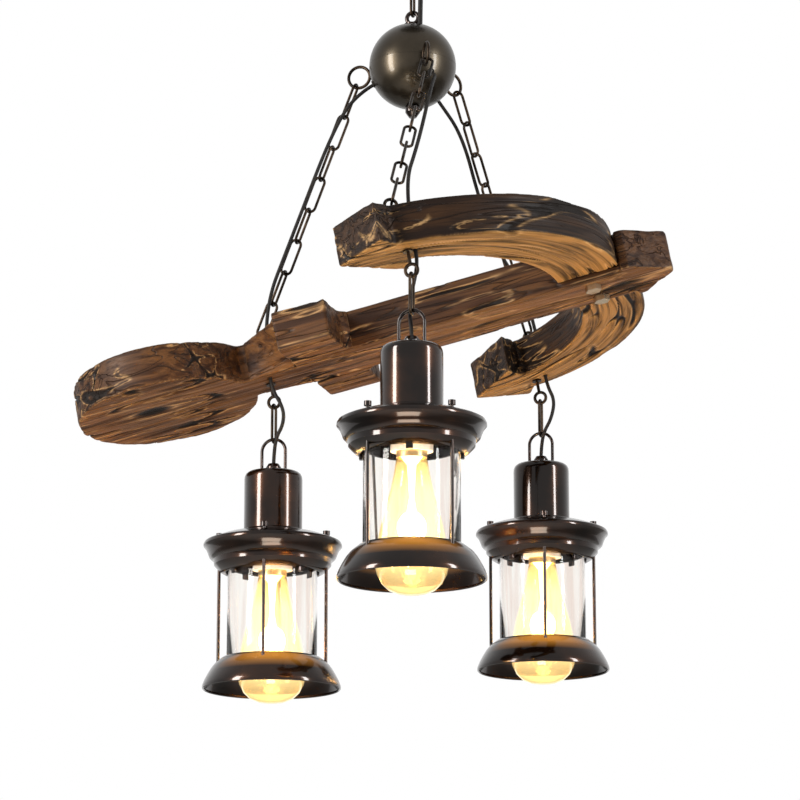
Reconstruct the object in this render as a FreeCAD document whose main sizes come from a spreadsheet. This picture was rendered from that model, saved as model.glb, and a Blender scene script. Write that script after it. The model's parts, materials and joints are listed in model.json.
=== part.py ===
import FreeCAD, Part
import Sketcher
import math
import os

# An anchor of dark wood hangs from a metal ball on three chains, and carries three lanterns.
# Row frame: origin on the ceiling above the ball, +Z up, +X along the shank to the crown.
# Lengths are millimetres and angles are degrees.

SIZES = [
    # ceiling fitting
    ("canopy_diameter", 110), ("canopy_height", 24), ("sheet_wall", 1.2),
    ("bracket_length", 98), ("bracket_width", 18), ("bracket_thickness", 2.5),
    ("ceiling_hole_spacing", 60), ("ceiling_hole_radius", 2.5), ("canopy_screw_spacing", 84),
    ("canopy_screw_radius", 1.75), ("stem_radius", 5), ("loop_collar_radius", 9),
    ("loop_collar_height", 5), ("loop_ring_radius", 8), ("loop_wire_radius", 2),
    # clearances
    ("hook_gap", 0.15), ("hole_gap", 0.1), ("cord_gap", 0.5),
    # chain
    ("link_wire_radius", 1.3), ("link_half_width", 5.2), ("top_link_length", 34.5),
    ("top_link_count", 3), ("chain_link_count", 8), ("lantern_link_length", 36),
    # ball
    ("ball_radius", 41), ("ball_wall", 1.5), ("ball_ring_radius", 5.55),
    ("ball_ring_wire", 2), ("ball_ring_rise", 1.9),
    ("ball_rod_radius", 4), ("ball_loop_radius", 10.5), ("ball_loop_wire", 1.5),
    ("ball_loop_dip", 6), ("peg_depth", 6), ("finial_radius", 7), ("finial_height", 10),
    ("washer_height", 1.5), ("seat_drop", 0.2),
    # pose of the hanging anchor
    ("ball_above_disc", 320), ("shank_pitch", 11.6), ("shank_roll", 2.3), ("disc_to_hook", 240),
    # wood
    ("wood_thickness", 38), ("disc_radius", 86), ("neck_half_width", 22), ("shank_half_width", 31),
    ("stock_start", 137), ("stock_length", 53), ("stock_half_span", 78), ("stock_cove", 11),
    ("flare_start", 90), ("flare_top", 64), ("flare_bottom", 29),
    ("crown_start", 455.5), ("crown_shoulder", 463), ("crown_half_width", 38),
    ("crown_tip", 497), ("crown_tip_half_width", 4),
    ("arm_lift", 5.6), ("arm_outer_radius", 184), ("arm_outer_along", 271), ("arm_outer_across", 48),
    ("arm_inner_radius", 164), ("arm_inner_along", 232), ("arm_inner_across", 38),
    ("fluke_start", 301), ("fluke_barb", 294), ("fluke_tip", 246), ("fluke_tip_across", 216),
    ("barb_outer_across", 248), ("barb_inner_across", 163), ("bolt_along", 424),
    ("bolt_across", 16), ("bolt_radius", 4), ("bolt_head_radius", 7.5), ("bolt_head_height", 5),
    # stations where the chains and lanterns hang
    ("neck_station", 103.3), ("arm_station_along", 310), ("arm_station_outset", 5),
    ("near_setback", 3),
    ("eye_ring_radius", 5.5), ("eye_wire_radius", 1.5), ("eye_neck", 13.1), ("eye_shank", 15),
    ("eye_collar_radius", 4.5), ("eye_collar_height", 1.5),
    ("cord_radius", 1.7), ("mains_radius", 2.3), ("cord_lead", 11), ("bore_length", 24),
    # lantern, measured down from the top of the cup
    ("bail_half_width", 11.5), ("bail_height", 31.5), ("bail_wire_radius", 1.5),
    ("cup_radius", 27), ("cup_height", 55.4), ("cup_edge", 5), ("gland_radius", 7),
    ("gland_height", 8), ("nipple_radius", 5), ("cap_hole_radius", 20), ("cap_collar_radius", 29),
    ("cap_collar_height", 2.5), ("cap_dome_mid_radius", 47), ("cap_dome_mid_drop", 5.4),
    ("cap_rim_radius", 64), ("cap_dome_height", 12.2), ("cap_rim_height", 3.5),
    ("cap_waist_radius", 57.5), ("cap_waist_drop", 14), ("cap_step_radius", 54.5),
    ("cap_step_drop", 17.5), ("cap_foot_radius", 52.2), ("cap_foot_drop", 22),
    ("cap_mouth_radius", 44), ("cap_mouth_drop", 28), ("skirt_drop", 106.5),
    ("skirt_hole_radius", 36), ("skirt_top_radius", 45), ("skirt_shoulder_radius", 52),
    ("skirt_shoulder_drop", 5.5), ("skirt_flare_radius", 58.6), ("skirt_flare_drop", 15),
    ("skirt_rim_radius", 63.6), ("skirt_height", 29), ("skirt_lip", 3),
    ("glass_radius", 41.5), ("glass_wall", 2), ("glass_height", 86.5), ("guard_circle", 50),
    ("guard_rod_radius", 1.5), ("guard_nut_radius", 3.2), ("guard_nut_height", 4),
    ("upper_nut_lift", 1.4), ("lower_nut_drop", 12.5), ("lower_nut_height", 2), ("cap_drill", 60),
    ("holder_radius", 18), ("holder_flange_radius", 23), ("holder_flange_height", 3),
    ("holder_length", 40), ("holder_top", 8), ("holder_nipple_depth", 8),
    # bulb
    ("bulb_radius", 32), ("bulb_neck_radius", 14), ("bulb_glass_height", 115),
    ("bulb_wall", 1), ("bulb_cap_radius", 13), ("bulb_cap_height", 25), ("bulb_cap_wall", 0.6),
    ("bulb_seat_gap", 0.3), ("stem_height", 32), ("filament_height", 58), ("filament_radius", 13),
    ("filament_wire_radius", 0.6),
    # terminal blocks
    ("block_length", 26), ("block_width", 12), ("block_height", 9),
]

doc = FreeCAD.newDocument("AnchorChandelier")
sheet = doc.addObject("Spreadsheet::Sheet", "Sizes")
for row, (alias, amount) in enumerate(SIZES, start=1):
    sheet.set("A%d" % row, alias)
    sheet.set("B%d" % row, str(amount))
    sheet.setAlias("B%d" % row, alias)
doc.recompute()

UP = FreeCAD.Vector(0, 0, 1)
ALONG = FreeCAD.Vector(1, 0, 0)
ACROSS = FreeCAD.Vector(0, 1, 0)
ORIGIN = FreeCAD.Vector(0, 0, 0)


class Size:
    """A length that keeps both its amount and the sheet formula that it comes from."""

    def __init__(self, amount, formula):
        self.amount = float(amount)
        self.formula = formula

    def combined(self, other, sign, amount, swapped=False):
        second = other.formula if isinstance(other, Size) else repr(float(other))
        first = self.formula
        if swapped:
            first, second = second, first
        return Size(amount, "(%s %s %s)" % (first, sign, second))

    def __float__(self):
        return self.amount

    def __add__(self, other):
        return self.combined(other, "+", self.amount + float(other))

    def __radd__(self, other):
        return self.combined(other, "+", float(other) + self.amount, swapped=True)

    def __sub__(self, other):
        return self.combined(other, "-", self.amount - float(other))

    def __rsub__(self, other):
        return self.combined(other, "-", float(other) - self.amount, swapped=True)

    def __mul__(self, other):
        return self.combined(other, "*", self.amount * float(other))

    def __rmul__(self, other):
        return self.combined(other, "*", float(other) * self.amount, swapped=True)

    def __truediv__(self, other):
        return self.combined(other, "/", self.amount / float(other))

    def __neg__(self):
        return self.combined(-1, "*", -self.amount)


S = {alias: Size(sheet.get(alias), "Sizes." + alias) for alias, _ in SIZES}


def size(alias):
    return S[alias]


def mm(alias):
    return float(S[alias])


def point(x, y, z):
    return FreeCAD.Vector(float(x), float(y), float(z))


def placed(base=ORIGIN, axis=UP):
    """A placement at base whose local Z lies along axis."""
    return FreeCAD.Placement(base, FreeCAD.Rotation(UP, axis))


def bind(item, name, amount):
    if isinstance(amount, Size):
        item.setExpression(name, amount.formula)
    else:
        setattr(item, name, amount)


def scratch(kind, label):
    return doc.addObject(kind, label)


def cylinder(label, radius, height, base=ORIGIN, axis=UP):
    item = scratch("Part::Cylinder", label)
    bind(item, "Radius", radius)
    bind(item, "Height", height)
    item.Placement = placed(base, axis)
    return item


def box(label, length, width, height, corner):
    item = scratch("Part::Box", label)
    bind(item, "Length", length)
    bind(item, "Width", width)
    bind(item, "Height", height)
    item.Placement = placed(corner)
    return item


def ring(label, ring_radius, wire_radius, centre, axis):
    item = scratch("Part::Torus", label)
    bind(item, "Radius1", ring_radius)
    bind(item, "Radius2", wire_radius)
    item.Placement = placed(centre, axis)
    return item


def fused(label, items):
    item = scratch("Part::MultiFuse", label)
    item.Shapes = items
    return item


def cut(label, base, tool):
    item = scratch("Part::Cut", label)
    item.Base = base
    item.Tool = tool
    return item


def group(label, items):
    item = scratch("Part::Compound", label)
    item.Links = items
    return item


def formed(label, shape, placement=None):
    item = scratch("Part::Feature", label)
    item.Shape = shape
    if placement is not None:
        item.Placement = placement
    return item


def turned(label, outline, placement):
    """A body turned about its own Z from a closed outline of (radius, height) corners."""
    body = scratch("PartDesign::Body", label)
    sketch = body.newObject("Sketcher::SketchObject", label + "_outline")
    planes = [plane for plane in body.Origin.OriginFeatures if plane.Role == "XZ_Plane"]
    sketch.AttachmentSupport = (planes[0], [""])
    sketch.MapMode = "FlatFace"
    count = len(outline)
    for index in range(count):
        start = outline[index]
        end = outline[(index + 1) % count]
        line = Part.LineSegment(point(start[0], start[1], 0), point(end[0], end[1], 0))
        sketch.addGeometry(line, False)
    for index in range(count):
        following = (index + 1) % count
        sketch.addConstraint(Sketcher.Constraint("Coincident", index, 2, following, 1))
    for index, corner in enumerate(outline):
        for kind, amount in zip(("DistanceX", "DistanceY"), corner):
            number = sketch.addConstraint(Sketcher.Constraint(kind, -1, 1, index, 1, float(amount)))
            if isinstance(amount, Size):
                sketch.setExpression("Constraints[%d]" % number, amount.formula)
    revolution = body.newObject("PartDesign::Revolution", label + "_turned")
    revolution.Profile = sketch
    revolution.ReferenceAxis = (sketch, ["V_Axis"])
    revolution.Angle = 360
    body.Tip = revolution
    body.Placement = placement
    return body


def prism(label, corners, height, placement):
    """A closed outline of (along, across) corners, raised by height."""
    wire = scratch("Part::Polygon", label + "_edge")
    wire.Nodes = [point(along, across, 0) for along, across in corners]
    wire.Close = True
    solid = scratch("Part::Extrusion", label)
    solid.Base = wire
    solid.DirMode = "Custom"
    solid.Dir = UP
    solid.Solid = True
    bind(solid, "LengthFwd", height)
    solid.Placement = placement
    return solid


def round_wire(path_edges, radius):
    """A round bar along a path of tangent edges."""
    path = Part.Wire(path_edges)
    first = path_edges[0]
    start = first.valueAt(first.FirstParameter)
    direction = first.tangentAt(first.FirstParameter)
    section = Part.Wire([Part.makeCircle(radius, start, direction)])
    return path.makePipeShell([section], True, False)


def link_shape(length, half_width, wire_radius):
    """One oval link along Z about the origin, in the YZ plane, of that centreline length."""
    straight = length / 2 - half_width
    low_left = point(0, -half_width, -straight)
    high_left = point(0, -half_width, straight)
    high_right = point(0, half_width, straight)
    low_right = point(0, half_width, -straight)
    top = point(0, 0, length / 2)
    bottom = point(0, 0, -length / 2)
    pieces = []
    for start, end in ((low_left, high_left), (low_right, high_right)):
        pieces.append(Part.makeCylinder(wire_radius, 2 * straight, start, UP))
    for centre_height, extreme in ((straight, top), (-straight, bottom)):
        hoop = Part.makeTorus(half_width, wire_radius, point(0, 0, centre_height), ALONG)
        reach = half_width + wire_radius + 1
        corner_height = centre_height if extreme.z > 0 else centre_height - reach
        half_space = Part.makeBox(2 * reach, 2 * reach, reach, point(-reach, -reach, corner_height))
        pieces.append(hoop.common(half_space))
    return pieces[0].multiFuse(pieces[1:])


def link_length_for(distance, count, first_wire, last_wire):
    """The centreline length of each of count equal links between two holding wires."""
    wire = 2 * mm("link_wire_radius") + mm("hook_gap")
    ends = first_wire + last_wire + 2 * (mm("link_wire_radius") + mm("hook_gap"))
    return (distance + (count - 1) * wire + ends) / count


def chain_shape(start, end, count, first_wire, last_wire, flat_axis):
    """Links from the wire at start to the wire at end. The first link's flat faces flat_axis."""
    run = end - start
    distance = run.Length
    direction = FreeCAD.Vector(run).normalize()
    length = link_length_for(distance, count, first_wire, last_wire)
    overlap = 2 * mm("link_wire_radius") + mm("hook_gap")
    head = first_wire + mm("link_wire_radius") + mm("hook_gap")
    side = flat_axis - direction * flat_axis.dot(direction)
    side.normalize()
    other = direction.cross(side)
    links = []
    for index in range(count):
        middle = start + direction * (length / 2 - head + index * (length - overlap))
        flat = side if index % 2 == 0 else other
        turn = FreeCAD.Rotation(flat, direction.cross(flat), direction, "XYZ")
        link = link_shape(length, mm("link_half_width"), mm("link_wire_radius"))
        link.Placement = FreeCAD.Placement(middle, turn)
        links.append(link)
    return links, length


def cord_shape(label, points, radius):
    """A round cord along straight runs joined by tangent arcs, and a printed check of it."""
    edges = []
    here = points[0]
    radii = []
    for before, corner, after in zip(points, points[1:], points[2:]):
        run_in = corner - before
        run_out = after - corner
        turn = run_in.getAngle(run_out)
        reach = 0.45 * min(run_in.Length, run_out.Length)
        radii.append(reach / math.tan(turn / 2))
        arc_start = corner - FreeCAD.Vector(run_in).normalize() * reach
        arc_end = corner + FreeCAD.Vector(run_out).normalize() * reach
        inward = FreeCAD.Vector(run_out).normalize() - FreeCAD.Vector(run_in).normalize()
        centre = corner + inward.normalize() * (radii[-1] / math.cos(turn / 2))
        arc_middle = centre + (corner - centre).normalize() * radii[-1]
        edges.append(Part.LineSegment(here, arc_start).toShape())
        edges.append(Part.Arc(arc_start, arc_middle, arc_end).toShape())
        here = arc_end
    edges.append(Part.LineSegment(here, points[-1]).toShape())
    tube = round_wire(edges, radius)
    length = sum(edge.Length for edge in edges)
    ratio = tube.Volume / (math.pi * radius ** 2 * length)
    words = "%s: %.1f mm long, least radius %.1f, volume ratio %.4f"
    print(words % (label, length, min(radii), ratio))
    return tube


# ---- where things hang ----

gap = mm("hook_gap")
wire = mm("link_wire_radius")
loop_centre_z = -(mm("canopy_height") + mm("loop_collar_height") + mm("loop_ring_radius"))
loop_seat = point(0, 0, loop_centre_z - mm("loop_ring_radius"))
top_overlap = 2 * wire + gap
top_pitch = mm("top_link_length") - top_overlap
top_count = int(mm("top_link_count"))
loop_to_ring = (top_count * mm("top_link_length") - (top_count - 1) * top_overlap
                - mm("loop_wire_radius") - mm("ball_ring_wire") - 2 * (wire + gap))
ball_ring_seat = loop_seat - UP * loop_to_ring
ball_top = ball_ring_seat - UP * (2 * mm("ball_ring_radius") + mm("ball_ring_rise"))
ball_centre = ball_top - UP * mm("ball_radius")

pitch = FreeCAD.Rotation(ACROSS, -mm("shank_pitch"))
roll = FreeCAD.Rotation(ALONG, -mm("shank_roll"))
disc_centre = ball_centre + point(-mm("disc_to_hook"), 0, -mm("ball_above_disc"))
WOOD = FreeCAD.Placement(disc_centre, pitch.multiply(roll))
LIFTED = WOOD.multiply(FreeCAD.Placement(point(0, 0, size("arm_lift")), FreeCAD.Rotation()))
wood_up = WOOD.Rotation.multVec(UP)



def circle_edge(kind, along):
    """How far across one of an arm's two circles reaches at a place along the shank."""
    offset = along - mm(kind + "_along")
    return mm(kind + "_across") + math.sqrt(mm(kind + "_radius") ** 2 - offset ** 2)


arm_along = mm("arm_station_along")
arm_middle = (circle_edge("arm_inner", arm_along) + circle_edge("arm_outer", arm_along)) / 2
arm_across = arm_middle + mm("arm_station_outset")

# Each station: along, across, frame, plan angle of its ball loop, and how far its upper eye
# and its cord hole lie from its lower eye.
STATIONS = {
    "ring": (mm("neck_station"), 0, WOOD, 180, (0, 0), (4, -12)),
    "near": (arm_along - mm("near_setback"), -arm_across, LIFTED, -60, (-7, 0), (5, 7.5)),
    "far": (arm_along, arm_across, LIFTED, 60, (0, 0), (10.5, -6)),
}


def station_point(name, height, shift=(0, 0)):
    along, across, frame = STATIONS[name][:3]
    return frame.multVec(point(along + shift[0], across + shift[1], height))


def cord_hole_point(name, height):
    return station_point(name, height, STATIONS[name][5])


def lantern_place(name):
    """Top centre of a lantern's cup, plumb under the lower eye of its station."""
    eye = lower_ring_centre(name)
    seat = eye - UP * mm("eye_ring_radius")
    reach = mm("lantern_link_length") - mm("eye_wire_radius") - mm("bail_wire_radius")
    bail_top = seat - UP * (reach - 2 * (wire + gap))
    return bail_top - UP * mm("bail_height")


def lower_ring_centre(name):
    return station_point(name, -mm("eye_neck") - mm("eye_ring_radius"))


def upper_ring_centre(name):
    height = mm("wood_thickness") + mm("eye_ring_radius") + mm("eye_wire_radius")
    return station_point(name, height, STATIONS[name][4])


def loop_direction(name):
    """Out of the ball toward one loop, a little below level."""
    angle = math.radians(STATIONS[name][3])
    dip = math.radians(mm("ball_loop_dip"))
    return point(math.cos(angle) * math.cos(dip), math.sin(angle) * math.cos(dip), -math.sin(dip))


def loop_ring_centre(name):
    reach = mm("ball_radius") + mm("ball_loop_radius") + mm("ball_loop_wire") + mm("seat_drop")
    return ball_centre + loop_direction(name) * reach


def loop_tangent(name):
    return UP.cross(loop_direction(name)).normalize()


# ---- ceiling fitting ----

def ceiling_fitting():
    plate_low = -size("bracket_thickness")
    blank = box("bracket_blank", size("bracket_length"), size("bracket_width"),
                size("bracket_thickness"),
                point(-size("bracket_length") / 2, -size("bracket_width") / 2, plate_low))
    holes = []
    for side in (-1, 1):
        for kind, spacing, radius in (
            ("ceiling", size("ceiling_hole_spacing"), size("ceiling_hole_radius")),
            ("canopy", size("canopy_screw_spacing"), size("canopy_screw_radius") + size("hole_gap")),
        ):
            holes.append(cylinder("bracket_hole", radius, size("bracket_thickness"),
                                  point(side * spacing / 2, 0, plate_low)))
    holes.append(cylinder("bracket_stem_hole", size("stem_radius") + size("hole_gap"),
                          size("bracket_thickness"), point(0, 0, plate_low)))
    bracket = cut("ceiling_bracket", blank, fused("bracket_holes", holes))

    radius = size("canopy_diameter") / 2
    height = size("canopy_height")
    wall = size("sheet_wall")
    bend = wall * 3
    hole = size("stem_radius") + size("hole_gap")
    shell = turned("canopy_shell", [
        (hole, -height), (radius - bend, -height), (radius, -height + bend), (radius, 0),
        (radius - wall, 0), (radius - wall, -height + bend), (radius - bend, -height + wall),
        (hole, -height + wall)], placed())
    openings = []
    for side in (-1, 1):
        openings.append(cylinder("canopy_hole", size("canopy_screw_radius") + size("hole_gap"),
                                 wall * 2, point(side * size("canopy_screw_spacing") / 2, 0, -height)))
    openings.append(cylinder("canopy_cord_hole", size("mains_radius") + size("cord_gap"),
                             wall * 2, point(MAINS_ROUTE[0][0], MAINS_ROUTE[0][1], -height)))
    canopy = cut("canopy", shell, fused("canopy_holes", openings))

    screws = []
    for side in (-1, 1):
        foot = point(side * size("canopy_screw_spacing") / 2, 0, -height)
        shaft = cylinder("screw_shaft", size("canopy_screw_radius"), height, foot)
        head = cylinder("screw_head", size("canopy_screw_radius") * 2, wall * 2,
                        foot - UP * float(wall * 2))
        screws.append(fused("canopy_screw", [shaft, head]))
    canopy_screws = group("canopy_screws", screws)

    stem = cylinder("loop_stem", size("stem_radius"), height, point(0, 0, -height))
    collar = cylinder("loop_collar", size("loop_collar_radius"), size("loop_collar_height"),
                      point(0, 0, -height - size("loop_collar_height")))
    hoop = ring("loop_hoop", size("loop_ring_radius"), size("loop_wire_radius"),
                point(0, 0, loop_centre_z), ACROSS)
    ceiling_loop = fused("ceiling_loop", [stem, collar, hoop])
    return [bracket, canopy, canopy_screws, ceiling_loop]


# ---- top chain and mains cord ----

MAINS_ROUTE = [(13, -4), (12, -5), (10, -6.5), (9.5, -7.5)]


def top_chain():
    links, length = chain_shape(loop_seat, ball_ring_seat, top_count, mm("loop_wire_radius"),
                                mm("ball_ring_wire"), ALONG)
    print("top chain link", round(length, 2))
    return formed("top_chain", Part.makeCompound(links))


def mains_points():
    """From inside the canopy, beside the top chain, into the crown of the ball."""
    start_z = -mm("canopy_height") + 6
    end_x, end_y = MAINS_ROUTE[3]
    end_z = ball_centre.z + math.sqrt(mm("ball_radius") ** 2 - end_x ** 2 - end_y ** 2) - 9
    drop = start_z - end_z
    heights = [start_z, start_z - 0.3 * drop, start_z - 0.62 * drop, end_z]
    return [point(x, y, z) for (x, y), z in zip(MAINS_ROUTE, heights)]


def mains_cord():
    return formed("mains_cord", cord_shape("mains cord", mains_points(), mm("mains_radius")))


# ---- ball ----

def ball():
    radius = size("ball_radius")
    wall = size("ball_wall")
    rod_hole = size("ball_rod_radius") + size("hole_gap")
    shells = []
    for label, side in (("ball_upper", 1), ("ball_lower", -1)):
        outer = scratch("Part::Sphere", label + "_outside")
        bind(outer, "Radius", radius)
        inner = scratch("Part::Sphere", label + "_inside")
        bind(inner, "Radius", radius - wall)
        for sphere in (outer, inner):
            sphere.Angle1 = 0 if side > 0 else -90
            sphere.Angle2 = 90 if side > 0 else 0
            sphere.Placement = placed(ball_centre)
        shells.append(cut(label + "_blank", outer, inner))
    rod = cylinder("rod_bore", rod_hole, radius, ball_centre + UP * 5)
    mains = mains_points()
    mains_bore = cylinder("mains_bore", size("mains_radius") + size("cord_gap"),
                          size("bore_length"), mains[3], mains[2] - mains[3])
    low_bores = [cylinder("rod_bore_low", rod_hole, radius, ball_centre - UP * float(radius + 2))]
    for name in STATIONS:
        outward = loop_direction(name)
        low_bores.append(cylinder("loop_bore", size("ball_loop_wire") + size("hole_gap"), 12,
                                  ball_centre + outward * (float(radius) - 8), outward))
        bore = cord_bore_direction(name)
        low_bores.append(cylinder("cord_bore", size("cord_radius") + size("cord_gap"), 14,
                                  ball_centre + bore * (float(radius) - 7), bore))
    upper = cut("ball_upper_shell", shells[0], fused("upper_bores", [rod, mains_bore]))
    lower = cut("ball_lower_shell", shells[1], fused("lower_bores", low_bores))

    ring_radius = size("ball_ring_radius")
    seat = float(radius - size("seat_drop"))
    top = ball_centre + UP * seat
    bottom = ball_centre - UP * seat
    shaft = cylinder("rod_shaft", size("ball_rod_radius"), radius * 2 + size("finial_height") * 0.7,
                     bottom - UP * (mm("finial_height") * 0.7))
    washer = cylinder("rod_washer", size("ball_rod_radius") * 2, size("washer_height"), top)
    hoop = ring("rod_hoop", ring_radius, size("ball_ring_wire"),
                ball_ring_seat - UP * float(ring_radius), ACROSS)
    rod_piece = fused("ball_hanger_rod", [shaft, washer, hoop])
    finial_low = -size("finial_height")
    bore = size("ball_rod_radius") + size("hole_gap")
    depth = finial_low * 0.8
    finial = turned("ball_finial", [
        (bore, 0), (size("finial_radius"), 0), (size("finial_radius"), finial_low * 0.5),
        (size("finial_radius") * 0.5, finial_low), (0, finial_low), (0, depth), (bore, depth)],
        placed(bottom))

    loops = []
    for name in STATIONS:
        outward = loop_direction(name)
        hoop = ring("ball_loop_hoop", size("ball_loop_radius"), size("ball_loop_wire"),
                    loop_ring_centre(name), loop_tangent(name))
        peg = cylinder("ball_loop_peg", size("ball_loop_wire"),
                       size("peg_depth") + size("ball_loop_wire"),
                       ball_centre + outward * float(radius - size("peg_depth")), outward)
        loops.append(fused("ball_loop", [hoop, peg]))
    ball_loops = group("ball_loops", loops)
    block = box("terminal_block", size("block_length"), size("block_width"), size("block_height"),
                ball_centre + point(-size("block_length") / 2, size("ball_rod_radius") + 0.2,
                                    -size("block_height") / 2))
    return [upper, lower, rod_piece, finial, ball_loops, block]


def upper_eye_axis(name):
    return wood_up.cross(loop_tangent(name)).normalize()


def flattened(vector, axis):
    """The unit vector nearest to a vector in the plane across an axis."""
    return (vector - axis * vector.dot(axis)).normalize()


def suspension_ends(name):
    """Where a chain's end links bear on the ball loop and on the wood's upper eye."""
    loop = loop_ring_centre(name)
    eye = upper_ring_centre(name)
    aim = eye - loop
    start = loop + flattened(aim, loop_tangent(name)) * mm("ball_loop_radius")
    end = eye - flattened(aim, upper_eye_axis(name)) * mm("eye_ring_radius")
    return start, end


def suspension_points(name):
    """From inside the ball, down beside the chain, through the wood to its underside."""
    start, end = suspension_ends(name)
    tangent = loop_tangent(name)
    under = tangent.cross((end - start).normalize())
    bore = cord_bore_direction(name)
    points = [ball_centre + bore * (mm("ball_radius") - 12),
              ball_centre + bore * (mm("ball_radius") + 12)]
    for share, beside, below in CORD_LANES[name]:
        points.append(start + (end - start) * share + tangent * beside + under * below)
    points.append(cord_hole_point(name, mm("wood_thickness") + 22))
    points.append(cord_hole_point(name, 0))
    return points


CORD_LANES = {
    # each cord's points beside its chain: share of the chain's length, beside it, and under it
    "ring": [(0.16, 9.5, -2), (0.6, 10.5, -2)],
    "near": [(0.16, 9.5, 0), (0.6, 10.5, 0)],
    "far": [(0.16, 9.5, 0), (0.42, 9.5, 3), (0.62, 0, 10.5), (0.8, -10.5, 3)],
}


def cord_bore_direction(name):
    """Out of the ball through one cord's hole, beside its loop and lower down."""
    turn = FreeCAD.Rotation(UP, 14)
    flat = turn.multVec(loop_direction(name))
    return (flat - UP * 0.35).normalize()


def suspensions():
    chains = []
    cords = []
    for name in STATIONS:
        start, end = suspension_ends(name)
        count = int(mm("chain_link_count"))
        links, length = chain_shape(start, end, count, mm("ball_loop_wire"), mm("eye_wire_radius"),
                                    (end - start).cross(loop_tangent(name)))
        print("suspension chain", name, "link", round(length, 2))
        chains += links
        cords.append(cord_shape("suspension cord " + name, suspension_points(name), mm("cord_radius")))
    return [formed("suspension_chains", Part.makeCompound(chains)),
            formed("suspension_cords", Part.makeCompound(cords))]


# ---- wood ----

def station_drills(names):
    """The holes that the screw eyes and the cord need in the wood."""
    drills = []
    for name in names:
        for height in (0, mm("wood_thickness")):
            inward = 1 if height == 0 else -1
            shift = STATIONS[name][4] if height else (0, 0)
            drills.append(cylinder("eye_pilot", size("eye_wire_radius") + size("hole_gap"),
                                   size("eye_shank") + 1, station_point(name, height, shift),
                                   wood_up * inward))
        drills.append(cylinder("cord_drill", size("cord_radius") + size("cord_gap"),
                               size("wood_thickness") + 2, cord_hole_point(name, -1), wood_up))
    return drills


def bolt_drills():
    drills = []
    for side in (-1, 1):
        spot = WOOD.multVec(point(size("bolt_along"), side * size("bolt_across"), 0))
        drills.append(cylinder("bolt_drill", size("bolt_radius") + size("hole_gap"),
                               size("wood_thickness") * 0.8, spot, wood_up))
    return drills


def wooden(item):
    item.Placement = WOOD.multiply(item.Placement)
    return item


def shank_board():
    thick = size("wood_thickness")
    half = size("shank_half_width")
    neck = size("neck_half_width")
    disc = wooden(cylinder("disc", size("disc_radius"), thick))
    neck_box = wooden(box("neck", size("stock_start"), neck * 2, thick, point(0, -neck, 0)))
    bar = wooden(box("bar", size("crown_shoulder") - size("stock_start"), half * 2, thick,
                     point(size("stock_start"), -half, 0)))
    wide = size("crown_half_width")
    shoulder = wooden(box("shoulder", size("crown_shoulder") - size("crown_start"), wide * 2, thick,
                          point(size("crown_start"), -wide, 0)))
    tip = prism("crown_point", [
        (size("crown_shoulder"), -wide), (size("crown_tip"), -size("crown_tip_half_width")),
        (size("crown_tip"), size("crown_tip_half_width")), (size("crown_shoulder"), wide)],
        thick, WOOD)
    blank = fused("shank_blank", [disc, neck_box, bar, shoulder, tip])
    drills = fused("shank_drills", station_drills(["ring"]) + bolt_drills())
    return cut("shank_board", blank, drills)


def flare(side):
    """The stock's flared flank: square below and sloping above, from the neck to the stock."""
    near = mm("flare_start")
    far = mm("stock_start")
    neck = side * mm("neck_half_width")
    high = mm("wood_thickness")
    thin = side * (mm("neck_half_width") + 1)
    low_reach = side * mm("flare_bottom")
    high_reach = side * mm("flare_top")
    first = [(near, neck, 0), (near, thin, 0), (near, thin, high), (near, neck, high)]
    last = [(far, neck, 0), (far, low_reach, 0), (far, high_reach, high), (far, neck, high)]
    wires = [Part.makePolygon([point(*corner) for corner in ends + ends[:1]]) for ends in (first, last)]
    return Part.makeLoft(wires, True, True)


def stock_bars():
    """The two stubs of the stock, glued to the shank's sides."""
    bars = []
    thick = size("wood_thickness")
    half = mm("shank_half_width")
    span = mm("stock_half_span")
    start = mm("stock_start")
    length = mm("stock_length")
    cove = mm("stock_cove")
    for side in (-1, 1):
        low = min(side * half, side * span)
        bar = Part.makeBox(length, span - half, float(thick), point(start, low, 0))
        fillet_low = min(side * half, side * (half + cove))
        block = Part.makeBox(cove, cove, float(thick), point(start + length, fillet_low, 0))
        round_tool = Part.makeCylinder(cove, float(thick),
                                       point(start + length + cove, side * (half + cove), 0), UP)
        piece = bar.fuse([block.cut(round_tool), flare(side)]).removeSplitter()
        bars.append(piece)
    return formed("stock_bars", Part.makeCompound(bars), WOOD)


def arm(name, side):
    """One arm: a crescent between two circles, with a barbed fluke at its free end."""
    thick = size("wood_thickness")
    start = size("fluke_start")
    outer = cylinder("arm_outside", size("arm_outer_radius"), thick,
                     point(size("arm_outer_along"), side * size("arm_outer_across"), 0))
    inner = cylinder("arm_inside", size("arm_inner_radius"), thick,
                     point(size("arm_inner_along"), side * size("arm_inner_across"), 0))
    half = size("shank_half_width")
    reach = size("arm_outer_radius") + size("arm_outer_across")
    low = half if side > 0 else -reach
    window = box("arm_window", size("crown_start") - start, reach - half, thick,
                 point(start, low, 0))
    crescent = scratch("Part::Common", "arm_crescent")
    crescent.Base = cut("arm_ring", outer, inner)
    crescent.Tool = window
    root = size("barb_outer_across") - 17
    inner_root = size("barb_inner_across") + 24
    fluke = prism("fluke_" + name, [
        (size("fluke_tip"), side * size("fluke_tip_across")),
        (size("fluke_barb"), side * size("barb_outer_across")),
        (start + 1, side * root), (start + 1, side * inner_root),
        (size("fluke_barb"), side * size("barb_inner_across"))], thick, placed())
    blank = fused("arm_blank_" + name, [crescent, fluke])
    blank.Placement = LIFTED
    return cut(name + "_arm", blank, fused("arm_drills_" + name, station_drills([name])))


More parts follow.
